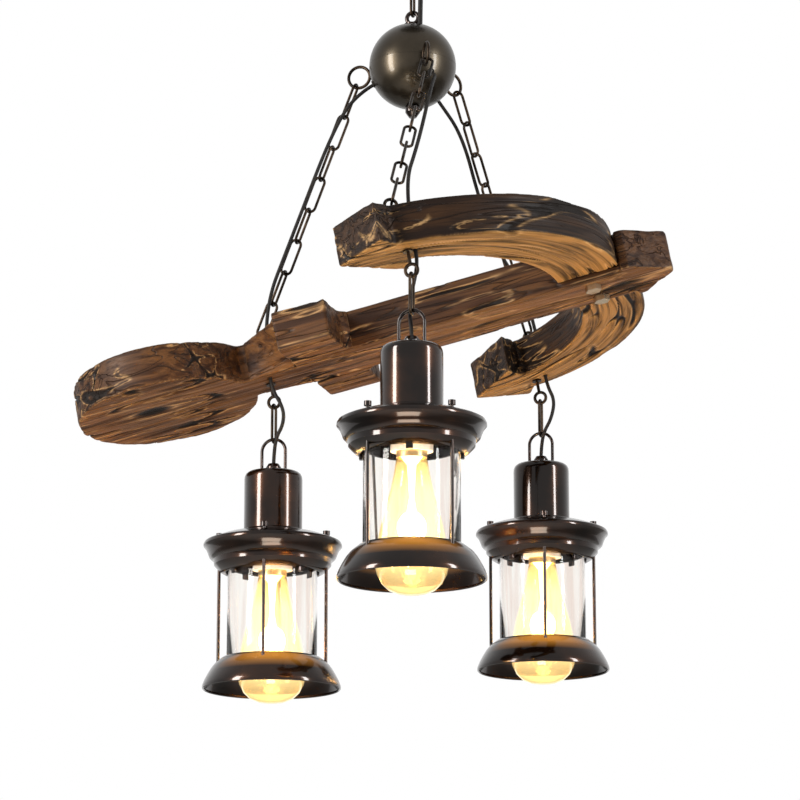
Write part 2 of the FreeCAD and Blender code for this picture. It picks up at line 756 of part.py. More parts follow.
def crown_bolts():
    """Two bolts whose heads show under the crown."""
    bolts = []
    for side in (-1, 1):
        spot = WOOD.multVec(point(size("bolt_along"), side * size("bolt_across"), 0))
        shaft = cylinder("bolt_shaft", size("bolt_radius"), size("wood_thickness") * 0.8, spot, wood_up)
        head = scratch("Part::Prism", "bolt_head")
        head.Polygon = 6
        bind(head, "Circumradius", size("bolt_head_radius"))
        bind(head, "Height", size("bolt_head_height"))
        head.Placement = placed(spot - wood_up * mm("bolt_head_height"), wood_up)
        bolts.append(fused("crown_bolt", [shaft, head]))
    return group("crown_bolts", bolts)


def screw_eyes():
    """Three eyes on top for the chains, and three underneath for the lanterns."""
    eyes = []
    for name in STATIONS:
        for centre, height, outward, neck, axis, shift in (
            (upper_ring_centre(name), mm("wood_thickness"), wood_up, mm("eye_wire_radius"),
             upper_eye_axis(name), STATIONS[name][4]),
            (lower_ring_centre(name), 0, wood_up * -1, mm("eye_neck"), ACROSS, (0, 0)),
        ):
            face = station_point(name, height, shift)
            hoop = ring("eye_hoop", size("eye_ring_radius"), size("eye_wire_radius"), centre, axis)
            shaft = cylinder("eye_shaft", size("eye_wire_radius"), size("eye_shank") + neck,
                             face + outward * neck, outward * -1)
            collar = cylinder("eye_collar", size("eye_collar_radius"), size("eye_collar_height"),
                              face, outward)
            eyes.append(fused("screw_eye", [hoop, shaft, collar]))
    return group("screw_eyes", eyes)


# ---- lantern ----

LANTERN_TURNS = {"ring": 10, "near": -31, "far": 17}
SLACK_ROUTES = {
    # each cord's points beside its lantern's axis: along, across, and height over the cup
    "ring": [(13, -10.5, 58), (12.5, -9.5, 43), (4.5, -7.5, 31), (0, 0, 13)],
    "near": [(-2.5, 9.8, 52), (-4.5, 8, 34), (0, 0, 13)],
    "far": [(16, -6, 62), (13, -9, 43), (4.5, -7.5, 30), (0, 0, 13)],
}


def lantern_cord(name):
    """From the wood's underside, past the link and through the bail, into the gland."""
    cup_top = lantern_place(name)
    points = [cord_hole_point(name, 0), cord_hole_point(name, -mm("cord_lead"))]
    for x, y, z in SLACK_ROUTES[name]:
        points.append(cup_top + point(x, y, z))
    points.append(cup_top + UP * 3)
    return cord_shape("lantern cord " + name, points, mm("cord_radius"))


def shell_outline(down_points, back_points, wall):
    """A sheet wall: the outside goes out to the rim and back, and the inside follows it."""
    outside = down_points + back_points
    inside = [(radius - wall, height - wall) for radius, height in down_points[1:]]
    inside += [(radius - wall, height + wall) for radius, height in back_points]
    first = (down_points[0][0], down_points[0][1] - wall)
    return outside + inside[::-1] + [first]


def rods_at(name, radius, length, height, place):
    rods = []
    for quarter in range(4):
        angle = math.radians(LANTERN_TURNS[name] + 90 * quarter)
        spot = point(math.cos(angle) * size("guard_circle"), math.sin(angle) * size("guard_circle"),
                     height)
        rods.append(cylinder("rod_" + name, radius, length, place.Base + spot))
    return rods


def lantern(name):
    place = placed(lantern_place(name))
    wall = size("sheet_wall")
    tag = "_" + name
    gap_size = size("hole_gap")
    pieces = []

    # the link and the bail that it holds
    link_centre = place.Base + UP * (mm("bail_height") - mm("bail_wire_radius") - wire - gap
                                     + mm("lantern_link_length") / 2)
    link = link_shape(mm("lantern_link_length"), mm("link_half_width"), wire)
    pieces.append(formed("lantern_link" + tag, link, placed(link_centre)))
    pieces.append(formed("lantern_cord" + tag, lantern_cord(name)))
    half = mm("bail_half_width")
    leg_top = mm("bail_height") - half
    foot = -4
    path = [
        Part.LineSegment(point(-half, 0, foot), point(-half, 0, leg_top)).toShape(),
        Part.Arc(point(-half, 0, leg_top), point(0, 0, leg_top + half),
                 point(half, 0, leg_top)).toShape(),
        Part.LineSegment(point(half, 0, leg_top), point(half, 0, foot)).toShape()]
    bail = round_wire(path, mm("bail_wire_radius"))
    for side in (-1, 1):
        head = Part.makeCylinder(mm("bail_wire_radius") * 1.8, 1.5,
                                 point(side * half, 0, -mm("sheet_wall") - 1.5), UP)
        bail = bail.fuse(head)
    pieces.append(formed("bail" + tag, bail, place))

    # the gland and nipple that carry the weight down to the lampholder
    bore = size("cord_radius") + gap_size
    nipple = size("nipple_radius")
    holder_top = -size("cup_height") + size("holder_top")
    nipple_low = holder_top - size("holder_nipple_depth")
    tall = size("gland_height")
    pieces.append(turned("cord_gland" + tag, [
        (bore, tall), (nipple, tall), (size("gland_radius"), tall * 0.6),
        (size("gland_radius"), 0), (nipple, 0), (nipple, nipple_low), (bore, nipple_low)], place))

    # the cup
    radius = size("cup_radius")
    edge = size("cup_edge")
    low = -size("cup_height")
    shell = turned("cup_shell" + tag, [
        (nipple + gap_size, 0), (radius - edge, 0), (radius - edge * 0.3, -edge * 0.3),
        (radius, -edge), (radius, low), (radius - wall, low), (radius - wall, -edge),
        (radius - edge * 0.3 - wall, -edge * 0.3 - wall), (radius - edge, -wall),
        (nipple + gap_size, -wall)], place)
    feet = []
    for side in (-1, 1):
        feet.append(cylinder("bail_foot", size("bail_wire_radius") + gap_size, 6,
                             place.Base + point(side * half, 0, -3)))
    pieces.append(cut("lampholder_cup" + tag, shell, fused("bail_feet" + tag, feet)))

    # the lampholder
    holder = size("holder_radius")
    flange_top = low - wall
    flange_low = flange_top - size("holder_flange_height")
    holder_low = low - size("holder_length")
    socket = size("bulb_cap_radius") + 0.4
    socket_top = bulb_top() + size("bulb_seat_gap")
    pieces.append(turned("lampholder" + tag, [
        (nipple + gap_size, holder_top), (holder * 0.75, holder_top), (holder, holder_top - 4),
        (holder, flange_top), (size("holder_flange_radius"), flange_top),
        (size("holder_flange_radius"), flange_low), (holder, flange_low), (holder, holder_low),
        (socket, holder_low), (socket, socket_top), (nipple - 1, socket_top),
        (nipple - 1, nipple_low), (nipple + gap_size, nipple_low)], place))

    # the cap
    rim = low - size("cap_dome_height")
    rim_low = rim - size("cap_rim_height")
    cap_out = [
        (size("cap_hole_radius"), low), (size("cap_collar_radius"), low),
        (size("cap_collar_radius") + 1.5, low - size("cap_collar_height")),
        (size("cap_dome_mid_radius"), low - size("cap_dome_mid_drop")),
        (size("cap_rim_radius"), rim)]
    cap_back = [
        (size("cap_rim_radius"), rim_low), (size("cap_waist_radius"), rim - size("cap_waist_drop")),
        (size("cap_step_radius"), rim - size("cap_step_drop")),
        (size("cap_foot_radius"), rim - size("cap_foot_drop")),
        (size("cap_mouth_radius"), rim - size("cap_mouth_drop"))]
    cap_shell = turned("cap_shell" + tag, shell_outline(cap_out, cap_back, wall), place)
    rod_hole = size("guard_rod_radius") + gap_size
    drills = rods_at(name, rod_hole, size("cap_drill"), rim - size("cap_drill") * 2 / 3, place)
    pieces.append(cut("lantern_cap" + tag, cap_shell, fused("cap_drills" + tag, drills)))

    # the glass, standing on the skirt
    skirt_top = rim - size("skirt_drop")
    glass = size("glass_radius")
    glass_top = skirt_top + size("glass_height")
    pieces.append(turned("glass_chimney" + tag, [
        (glass, skirt_top), (glass, glass_top), (glass - size("glass_wall"), glass_top),
        (glass - size("glass_wall"), skirt_top)], place))

    # the guard rods with a nut over the cap and one under the skirt's shoulder
    slope = (size("guard_circle") - size("cap_dome_mid_radius")) / (
        size("cap_rim_radius") - size("cap_dome_mid_radius"))
    dome_fall = size("cap_dome_height") - size("cap_dome_mid_drop")
    nut_seat = low - size("cap_dome_mid_drop") - dome_fall * slope + size("upper_nut_lift")
    rod_top = nut_seat + size("guard_nut_height") * 0.6
    nut_low = skirt_top - size("lower_nut_drop")
    rods = rods_at(name, size("guard_rod_radius"), rod_top - nut_low, nut_low, place)
    upper_nuts = rods_at(name, size("guard_nut_radius"), size("guard_nut_height"), nut_seat, place)
    lower_nuts = rods_at(name, size("guard_nut_radius"), size("lower_nut_height"), nut_low, place)
    guards = [fused("guard_rod" + tag, list(trio)) for trio in zip(rods, upper_nuts, lower_nuts)]
    pieces.append(group("guard_rods" + tag, guards))

    # the skirt
    skirt_out = [
        (size("skirt_hole_radius"), skirt_top), (size("skirt_top_radius"), skirt_top),
        (size("skirt_shoulder_radius"), skirt_top - size("skirt_shoulder_drop")),
        (size("skirt_flare_radius"), skirt_top - size("skirt_flare_drop")),
        (size("skirt_rim_radius"), skirt_top - size("skirt_height") + size("skirt_lip")),
        (size("skirt_rim_radius"), skirt_top - size("skirt_height"))]
    inside = [(radius_out - wall, height - wall) for radius_out, height in skirt_out[1:-1]]
    inside.append((size("skirt_rim_radius") - wall, skirt_top - size("skirt_height")))
    outline = skirt_out + inside[::-1] + [(size("skirt_hole_radius"), skirt_top - wall)]
    skirt_shell = turned("skirt_shell" + tag, outline, place)
    skirt_drills = rods_at(name, rod_hole, size("bore_length"), skirt_top - size("bore_length") / 2,
                           place)
    pieces.append(cut("base_skirt" + tag, skirt_shell, fused("skirt_drills" + tag, skirt_drills)))
    return pieces


def bulb_top():
    """Height of the top of the bulb's cap under the cup's top."""
    low = -size("cup_height")
    return low - size("holder_length") + size("bulb_cap_height") - 5


def bulb(name):
    """A screw bulb with a long tapered envelope, carried by its cap in the lampholder."""
    place = placed(lantern_place(name))
    tag = "_" + name
    top = bulb_top()
    cap = size("bulb_cap_radius")
    cap_wall = size("bulb_cap_wall")
    cap_low = top - size("bulb_cap_height")
    pieces = [turned("bulb_cap" + tag, [
        (0, top), (4, top), (5, top - 2), (cap, top - 5), (cap, cap_low), (cap - cap_wall, cap_low),
        (cap - cap_wall, top - 6), (4, top - 3), (0, top - 3)], place)]
    neck = size("bulb_neck_radius")
    wide = size("bulb_radius")
    tall = size("bulb_glass_height")
    wall = size("bulb_wall")
    glass_top = cap_low + 4
    inner_neck = cap - cap_wall - 0.1
    outer = [
        (inner_neck, glass_top), (inner_neck, cap_low), (neck, cap_low - 3),
        (neck + (wide - neck) * 0.3, cap_low - tall * 0.22),
        (neck + (wide - neck) * 0.8, cap_low - tall * 0.52), (wide, cap_low - tall * 0.7),
        (wide * 0.96, cap_low - tall * 0.79), (wide * 0.8, cap_low - tall * 0.89),
        (wide * 0.5, cap_low - tall * 0.965), (0, cap_low - tall)]
    inner = [(radius - wall, height) for radius, height in outer[:-2]]
    inner[-1] = (wide * 0.8 - wall * 1.2, cap_low - tall * 0.89 + wall)
    inner += [(wide * 0.5 - wall, cap_low - tall * 0.965 + wall), (0, cap_low - tall + wall)]
    pieces.append(turned("bulb_glass" + tag, outer + inner[::-1], place))

    # the stem and the hairpin filaments that it spreads
    stem_low = cap_low - size("stem_height")
    stem = Part.makeCone(4.5, 2, mm("stem_height") + 2, point(0, 0, cap_low + 2), UP * -1)
    flare_radius = float(inner_neck - wall) - 0.05
    flare_disc = Part.makeCone(flare_radius, 4.5, 8, point(0, 0, cap_low + 3), UP * -1)
    parts = [stem, flare_disc]
    count = 6
    spread = mm("filament_radius")
    wire_radius = mm("filament_wire_radius")
    high = float(stem_low) + 1
    low = high - mm("filament_height")
    for index in range(count):
        angle = 2 * math.pi * index / count
        step = 2 * math.pi * (index + 0.5) / count
        foot = point(spread * math.cos(angle), spread * math.sin(angle), low)
        head = point(1.5 * math.cos(step), 1.5 * math.sin(step), high)
        run = foot - head
        parts.append(Part.makeCylinder(wire_radius, run.Length, head, run))
        last = 2 * math.pi * (index + 1) / count
        other = point(spread * math.cos(last), spread * math.sin(last), low)
        back = other - head
        parts.append(Part.makeCylinder(wire_radius, back.Length, head, back))
        parts.append(Part.makeSphere(wire_radius, foot))
    pieces.append(formed("bulb_filament" + tag, parts[0].multiFuse(parts[1:]), place))
    return pieces


# ---- the whole part ----

nodes = ceiling_fitting()
nodes.append(top_chain())
nodes.append(mains_cord())
nodes += ball()
nodes += suspensions()
nodes += [shank_board(), stock_bars(), arm("near", -1), arm("far", 1), crown_bolts(), screw_eyes()]
for lantern_name in STATIONS:
    nodes += lantern(lantern_name)
    nodes += bulb(lantern_name)

doc.recompute()
for item in doc.Objects:
    if "Invalid" in item.State or "Error" in item.State:
        raise RuntimeError("object failed: " + item.Label)

os.makedirs("parts", exist_ok=True)
for node in nodes:
    shape = node.Shape
    if shape.isNull() or not shape.isValid():
        raise RuntimeError("bad shape: " + node.Label)
    shape.exportStep("parts/" + node.Label + ".step")
print(len(nodes), "nodes written")
for name in STATIONS:
    print(name, "cup top", [round(value, 2) for value in lantern_place(name)])
    print(name, "lower ring", [round(value, 2) for value in lower_ring_centre(name)])
print("ball centre", ball_centre, "loop seat", loop_seat, "ball ring seat", ball_ring_seat)
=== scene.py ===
# %% [markdown]
# # An anchor chandelier with three lanterns
# A dark wooden anchor hangs on three chains from a metal ball, and three lanterns hang under it.
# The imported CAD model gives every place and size. This lesson keeps its small hardware, builds
# the pieces that need a richer shape, and gives each one a finish made of nodes.

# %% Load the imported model
import json
import math

import bmesh
import bpy
from mathutils import Matrix, Vector, noise


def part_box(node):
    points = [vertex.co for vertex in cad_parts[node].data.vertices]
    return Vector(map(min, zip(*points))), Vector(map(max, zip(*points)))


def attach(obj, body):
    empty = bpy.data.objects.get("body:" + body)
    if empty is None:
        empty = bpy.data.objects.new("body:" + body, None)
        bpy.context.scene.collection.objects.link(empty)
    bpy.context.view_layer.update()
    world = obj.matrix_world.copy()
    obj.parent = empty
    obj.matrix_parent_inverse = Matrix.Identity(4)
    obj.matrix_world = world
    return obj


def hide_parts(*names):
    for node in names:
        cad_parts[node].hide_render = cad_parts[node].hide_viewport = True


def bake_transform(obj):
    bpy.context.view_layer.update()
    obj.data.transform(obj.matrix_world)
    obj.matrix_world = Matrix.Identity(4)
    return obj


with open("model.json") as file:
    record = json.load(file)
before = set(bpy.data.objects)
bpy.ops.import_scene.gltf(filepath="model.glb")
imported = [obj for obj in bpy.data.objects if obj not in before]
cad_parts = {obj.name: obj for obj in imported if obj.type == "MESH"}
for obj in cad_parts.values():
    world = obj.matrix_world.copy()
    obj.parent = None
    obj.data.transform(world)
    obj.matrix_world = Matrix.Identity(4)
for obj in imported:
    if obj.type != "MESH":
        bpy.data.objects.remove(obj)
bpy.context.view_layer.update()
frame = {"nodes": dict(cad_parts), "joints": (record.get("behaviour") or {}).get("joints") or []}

MM = 0.001
LANTERNS = ("ring", "near", "far")
JOINTS = {joint["name"]: joint for joint in frame["joints"]}
BAIL_SEAT = 28.55 * MM
CUP_TOP = {name: Vector(JOINTS["lantern_swing_" + name]["pos_m"]) - Vector((0, 0, BAIL_SEAT))
           for name in LANTERNS}
BALL = Vector((0, 0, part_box("ball_upper_shell")[0].z))
print("nodes", len(frame["nodes"]), "cup tops", CUP_TOP)

# %% [markdown]
# ## The camera
# The photograph is taken from below, with a long lens: the undersides of the wood and of the
# lanterns show, and upright lines stay nearly parallel. A camera has three facts to settle:
# where it stands, where it looks, and its lens. These come from fitting the ball, the outline
# of the anchor and the rims of the lanterns to the frame.

# %% Camera
camera_data = bpy.data.cameras.new("photo_camera")
camera_data.lens = 142.5
camera_data.sensor_width = 36
camera = bpy.data.objects.new("photo_camera", camera_data)
camera.location = BALL + Vector((0.8112, -2.7196, -1.010))
camera.rotation_euler = (math.radians(90 + 13.58), 0, math.radians(16.85))
bpy.context.scene.collection.objects.link(camera)
bpy.context.scene.camera = camera

# %% [markdown]
# ## Light and backdrop
# The product photograph has a plain white ground and soft lights on both sides, which draw one
# tall highlight on each side of every cup and a round one on each side of the ball. The ground
# is white only to rays from the camera, from mirrors and through glass. The light that falls
# on the object is lower, so that its dark finishes keep their depth.

# %% World, floor and lamps
def link_nodes(tree, *pairs):
    for outlet, inlet in pairs:
        tree.links.new(outlet, inlet)


def seen_directly(tree):
    """A factor of 1 for rays from the camera, off gloss and through glass."""
    path = tree.nodes.new("ShaderNodeLightPath")
    first = tree.nodes.new("ShaderNodeMath")
    first.operation = "MAXIMUM"
    second = tree.nodes.new("ShaderNodeMath")
    second.operation = "MAXIMUM"
    link_nodes(tree, (path.outputs["Is Camera Ray"], first.inputs[0]),
               (path.outputs["Is Glossy Ray"], first.inputs[1]),
               (first.outputs[0], second.inputs[0]),
               (path.outputs["Is Transmission Ray"], second.inputs[1]))
    return second.outputs[0]


world = bpy.data.worlds.new("studio")
bpy.context.scene.world = world
world.use_nodes = True
sky = world.node_tree
sky.nodes.clear()
backdrop_light = sky.nodes.new("ShaderNodeBackground")
backdrop_light.inputs["Color"].default_value = (1, 1, 1, 1)
backdrop_light.inputs["Strength"].default_value = 1.0
fill_light = sky.nodes.new("ShaderNodeBackground")
fill_light.inputs["Color"].default_value = (1.0, 0.97, 0.93, 1)
fill_light.inputs["Strength"].default_value = 0.3
either = sky.nodes.new("ShaderNodeMixShader")
sky_out = sky.nodes.new("ShaderNodeOutputWorld")
link_nodes(sky, (seen_directly(sky), either.inputs["Fac"]),
           (fill_light.outputs[0], either.inputs[1]),
           (backdrop_light.outputs[0], either.inputs[2]),
           (either.outputs[0], sky_out.inputs["Surface"]))


def lamp(name, place, aim, width, height, power, colour):
    data = bpy.data.lights.new(name, "AREA")
    data.shape = "RECTANGLE"
    data.size = width
    data.size_y = height
    data.energy = power
    data.color = colour
    item = bpy.data.objects.new(name, data)
    item.location = place
    item.rotation_euler = (Vector(aim) - Vector(place)).to_track_quat("-Z", "Y").to_euler()
    bpy.context.scene.collection.objects.link(item)
    return item


MIDDLE = (0, 0, -0.5)
FLOOR_HEIGHT = -2.35
FLOOR_HALF_WIDTH = 6
lamp("left_strip", (-1.5, -1.6, -0.2), MIDDLE, 0.5, 1.7, 108, (1.0, 0.99, 0.96))
lamp("right_strip", (2.14, -0.5, -0.2), MIDDLE, 0.32, 1.7, 70, (0.95, 0.98, 1.0))
lamp("low_front", (0.3, -1.5, -1.95), MIDDLE, 1.0, 0.6, 30, (1.0, 0.9, 0.74))

floor_mesh = bpy.data.meshes.new("floor")
bm = bmesh.new()
bmesh.ops.create_grid(bm, x_segments=1, y_segments=1, size=FLOOR_HALF_WIDTH)
bmesh.ops.translate(bm, verts=bm.verts, vec=(0, 0, FLOOR_HEIGHT))
bm.to_mesh(floor_mesh)
bm.free()
floor = bpy.data.objects.new("floor", floor_mesh)
bpy.context.scene.collection.objects.link(floor)
floor_look = bpy.data.materials.new("pale_floor")
floor_look.use_nodes = True
floor_look.node_tree.nodes["Principled BSDF"].inputs["Base Color"].default_value = (
    0.85, 0.85, 0.84, 1)
floor_look.node_tree.nodes["Principled BSDF"].inputs["Roughness"].default_value = 0.9
floor_mesh.materials.append(floor_look)

bpy.context.scene.view_settings.view_transform = "Standard"

# %% [markdown]
# ## Patterns as node groups
# Two effects serve many finishes. Old metal is never one even tone: it has faint cloudy patches
# and fine specks. Wood has long fibres, broad bands, dark pores and a few cracks along the
# grain, and its edges are chipped down to paler wood. The insides of the cracks are painted
# near-black as shade. The undersides are painted golden, partly as the wood's own tone and partly
# as painted light from below. Each effect is one shader group with named inputs, so that every
# finish can give it its own scale and colours.

# %% Helpers for node groups
def new_group(name, inputs, outputs):
    group = bpy.data.node_groups.new(name, "ShaderNodeTree")
    for label, kind, start in inputs:
        socket = group.interface.new_socket(label, in_out="INPUT", socket_type=kind)
        if start is not None:
            socket.default_value = start
    for label, kind in outputs:
        group.interface.new_socket(label, in_out="OUTPUT", socket_type=kind)
    source = group.nodes.new("NodeGroupInput")
    sink = group.nodes.new("NodeGroupOutput")
    return group, source, sink


def noise_node(tree, vector, scale, detail, distortion=0.0, roughness=0.55):
    node = tree.nodes.new("ShaderNodeTexNoise")
    node.inputs["Detail"].default_value = detail
    node.inputs["Distortion"].default_value = distortion
    node.inputs["Roughness"].default_value = roughness
    tree.links.new(vector, node.inputs["Vector"])
    if isinstance(scale, (int, float)):
        node.inputs["Scale"].default_value = scale
    else:
        tree.links.new(scale, node.inputs["Scale"])
    return node.outputs["Fac"]


def ramp(tree, factor, stops):
    """A value ramp from (place, value) stops."""
    node = tree.nodes.new("ShaderNodeValToRGB")
    while len(node.color_ramp.elements) < len(stops):
        node.color_ramp.elements.new(0.5)
    for element, (place, value) in zip(node.color_ramp.elements, stops):
        element.position = place
        element.color = (value, value, value, 1)
    tree.links.new(factor, node.inputs["Fac"])
    return node.outputs["Color"]


def mixed(tree, factor, first, second, mode="MIX"):
    node = tree.nodes.new("ShaderNodeMix")
    node.data_type = "RGBA"
    node.blend_type = mode
    for value, socket in ((factor, node.inputs[0]), (first, node.inputs[6]),
                          (second, node.inputs[7])):
        if isinstance(value, (tuple, list, float, int)):
            socket.default_value = value
        else:
            tree.links.new(value, socket)
    return node.outputs[2]


def maths(tree, operation, first, second):
    node = tree.nodes.new("ShaderNodeMath")
    node.operation = operation
    for value, socket in ((first, node.inputs[0]), (second, node.inputs[1])):
        if isinstance(value, (float, int)):
            socket.default_value = value
        else:
            tree.links.new(value, socket)
    return node.outputs[0]


# %% The metal's group
patina, patina_in, patina_out = new_group(
    "metal_patina",
    (("Vector", "NodeSocketVector", None), ("Base", "NodeSocketColor", (0.05, 0.04, 0.03, 1)),
     ("Warm", "NodeSocketColor", (0.12, 0.07, 0.04, 1)), ("Scale", "NodeSocketFloat", 30.0),
     ("Low Roughness", "NodeSocketFloat", 0.24), ("High Roughness", "NodeSocketFloat", 0.42)),
    (("Color", "NodeSocketColor"), ("Roughness", "NodeSocketFloat"), ("Height", "NodeSocketFloat")))
clouds = noise_node(patina, patina_in.outputs["Vector"], patina_in.outputs["Scale"], 4)
fine_scale = maths(patina, "MULTIPLY", patina_in.outputs["Scale"], 14.0)
specks = noise_node(patina, patina_in.outputs["Vector"], fine_scale, 2)
cloud_mask = ramp(patina, clouds, ((0.4, 0.0), (0.68, 1.0)))
patina_colour = mixed(patina, cloud_mask, patina_in.outputs["Base"], patina_in.outputs["Warm"])
rough_range = patina.nodes.new("ShaderNodeMapRange")
link_nodes(patina, (clouds, rough_range.inputs["Value"]),
           (patina_in.outputs["Low Roughness"], rough_range.inputs["To Min"]),
           (patina_in.outputs["High Roughness"], rough_range.inputs["To Max"]))
rough_range.inputs["From Min"].default_value = 0.3
rough_range.inputs["From Max"].default_value = 0.7
link_nodes(patina, (patina_colour, patina_out.inputs["Color"]),
           (rough_range.outputs["Result"], patina_out.inputs["Roughness"]),
           (specks, patina_out.inputs["Height"]))
print("group", patina.name, "feeds", len(patina_out.inputs) - 1, "outputs")

# %% The wood's group
grain, grain_in, grain_out = new_group(
    "wood_grain",
    (("Vector", "NodeSocketVector", None), ("Wear", "NodeSocketFloat", 0.0),
     ("Dark", "NodeSocketColor", (0.02, 0.008, 0.004, 1)),
     ("Middle", "NodeSocketColor", (0.1, 0.045, 0.02, 1)),
     ("Pale", "NodeSocketColor", (0.3, 0.16, 0.07, 1)),
     ("Chipped", "NodeSocketColor", (0.6, 0.36, 0.17, 1)),
     ("Underside", "NodeSocketFloat", 0.0), ("Carved", "NodeSocketFloat", 0.0),
     ("Golden", "NodeSocketColor", (0.2, 0.09, 0.03, 1))),
    (("Color", "NodeSocketColor"), ("Roughness", "NodeSocketFloat"), ("Height", "NodeSocketFloat")))


def stretched(tree, vector, along, across):
    """The same coordinates, drawn out along the first axis."""
    node = tree.nodes.new("ShaderNodeMapping")
    node.inputs["Scale"].default_value = (along, across, across)
    tree.links.new(vector, node.inputs["Vector"])
    return node.outputs["Vector"]


wood_vector = grain_in.outputs["Vector"]
bands = noise_node(grain, stretched(grain, wood_vector, 2.2, 26), 1.0, 3, 0.7)
fibres = noise_node(grain, stretched(grain, wood_vector, 14, 420), 1.0, 3, 0.2)
streaks = noise_node(grain, stretched(grain, wood_vector, 7, 120), 1.0, 5, 1.1)
cracks = noise_node(grain, stretched(grain, wood_vector, 5, 60), 1.0, 2, 0.9)
blotches = noise_node(grain, wood_vector, 9, 3)
band_mask = ramp(grain, bands, ((0.36, 0.0), (0.66, 1.0)))
streak_mask = ramp(grain, streaks, ((0.42, 0.0), (0.6, 1.0)))
crack_mask = ramp(grain, cracks, ((0.475, 0.0), (0.497, 1.0), (0.519, 0.0)))
fibre_mask = ramp(grain, fibres, ((0.3, 0.0), (0.75, 1.0)))
tone = mixed(grain, band_mask, grain_in.outputs["Dark"], grain_in.outputs["Middle"])
streak_share = maths(grain, "MULTIPLY", streak_mask, blotches)
tone = mixed(grain, streak_share, tone, grain_in.outputs["Pale"])
fibre_share = maths(grain, "MULTIPLY", fibre_mask, 0.4)
tone = mixed(grain, fibre_share, tone, grain_in.outputs["Dark"])
# Painted shade: the cracks of the pattern are coloured near-black inside.
painted_crack_shade = maths(grain, "MULTIPLY", crack_mask, 0.85)
tone = mixed(grain, painted_crack_shade, tone, (0.006, 0.003, 0.002, 1))
# Undersides painted golden along the streaks: partly the wood's paler tone, partly painted light from
# below.
underside_tone_and_light = maths(grain, "MULTIPLY", grain_in.outputs["Underside"],
                   ramp(grain, streaks, ((0.38, 0.12), (0.56, 1.0))))
tone = mixed(grain, underside_tone_and_light, tone, grain_in.outputs["Golden"])
rim = ramp(grain, grain_in.outputs["Carved"], ((0.0, 0.0), (0.12, 0.5), (0.3, 0.0)))
tone = mixed(grain, maths(grain, "MULTIPLY", rim, streak_mask), tone, grain_in.outputs["Chipped"])
# Painted shade: the deepest pressed-in cracks and the knot are coloured near-black.
tone = mixed(grain, ramp(grain, grain_in.outputs["Carved"], ((0.15, 0.0), (0.5, 1.0))), tone,
             (0.004, 0.002, 0.001, 1))
worn = maths(grain, "MULTIPLY", grain_in.outputs["Wear"],
             ramp(grain, noise_node(grain, stretched(grain, wood_vector, 24, 70), 1.0, 4),
                  ((0.4, 0.0), (0.62, 1.0))))
tone = mixed(grain, worn, tone, grain_in.outputs["Chipped"])
groove = maths(grain, "SUBTRACT", maths(grain, "MULTIPLY", fibre_mask, -0.35),
               maths(grain, "MULTIPLY", crack_mask, 1.0))
relief = maths(grain, "ADD", groove, maths(grain, "MULTIPLY", bands, 0.5))
wood_rough = ramp(grain, streaks, ((0.3, 0.62), (0.7, 0.4)))
link_nodes(grain, (tone, grain_out.inputs["Color"]), (wood_rough, grain_out.inputs["Roughness"]),
           (relief, grain_out.inputs["Height"]))
print("group", grain.name, "has", len(grain.nodes), "nodes")

# %% [markdown]
# ## Finishes
# A finish is one Principled shader whose colour, roughness and relief come from a group. The
# metal is a warm black under a thin clear coat. The wood comes in two tones: the shank and the
# disc are brown, and the arms are nearly black with golden undersides. That gold is partly the
# wood's tone and partly painted light from below. Clear glass lets shadow rays straight
# through, so that the bulb inside still lights the room.

# %% Materials
def bare_material(name):
    item = bpy.data.materials.new(name)
    item.use_nodes = True
    return item, item.node_tree, item.node_tree.nodes["Principled BSDF"]


def relief_from(tree, shader, height, strength, distance):
    bump = tree.nodes.new("ShaderNodeBump")
    bump.inputs["Strength"].default_value = strength
    bump.inputs["Distance"].default_value = distance
    link_nodes(tree, (height, bump.inputs["Height"]), (bump.outputs["Normal"], shader.inputs["Normal"]))


def metal_material(name, base, warm, scale, rough, metallic=1.0, bump=0.12, specular=0.3,
                   coat=0.0):
    item, tree, shader = bare_material(name)
    group = tree.nodes.new("ShaderNodeGroup")
    group.node_tree = patina
    group.inputs["Base"].default_value = (*base, 1)
    group.inputs["Warm"].default_value = (*warm, 1)
    group.inputs["Scale"].default_value = scale
    group.inputs["Low Roughness"].default_value = rough[0]
    group.inputs["High Roughness"].default_value = rough[1]
    place = tree.nodes.new("ShaderNodeTexCoord")
    link_nodes(tree, (place.outputs["Object"], group.inputs["Vector"]),
               (group.outputs["Color"], shader.inputs["Base Color"]),
               (group.outputs["Roughness"], shader.inputs["Roughness"]))
    relief_from(tree, shader, group.outputs["Height"], bump, 0.0003)
    shader.inputs["Metallic"].default_value = metallic
    shader.inputs["Specular IOR Level"].default_value = specular
    shader.inputs["Coat Weight"].default_value = coat
    shader.inputs["Coat Roughness"].default_value = 0.09
    return item


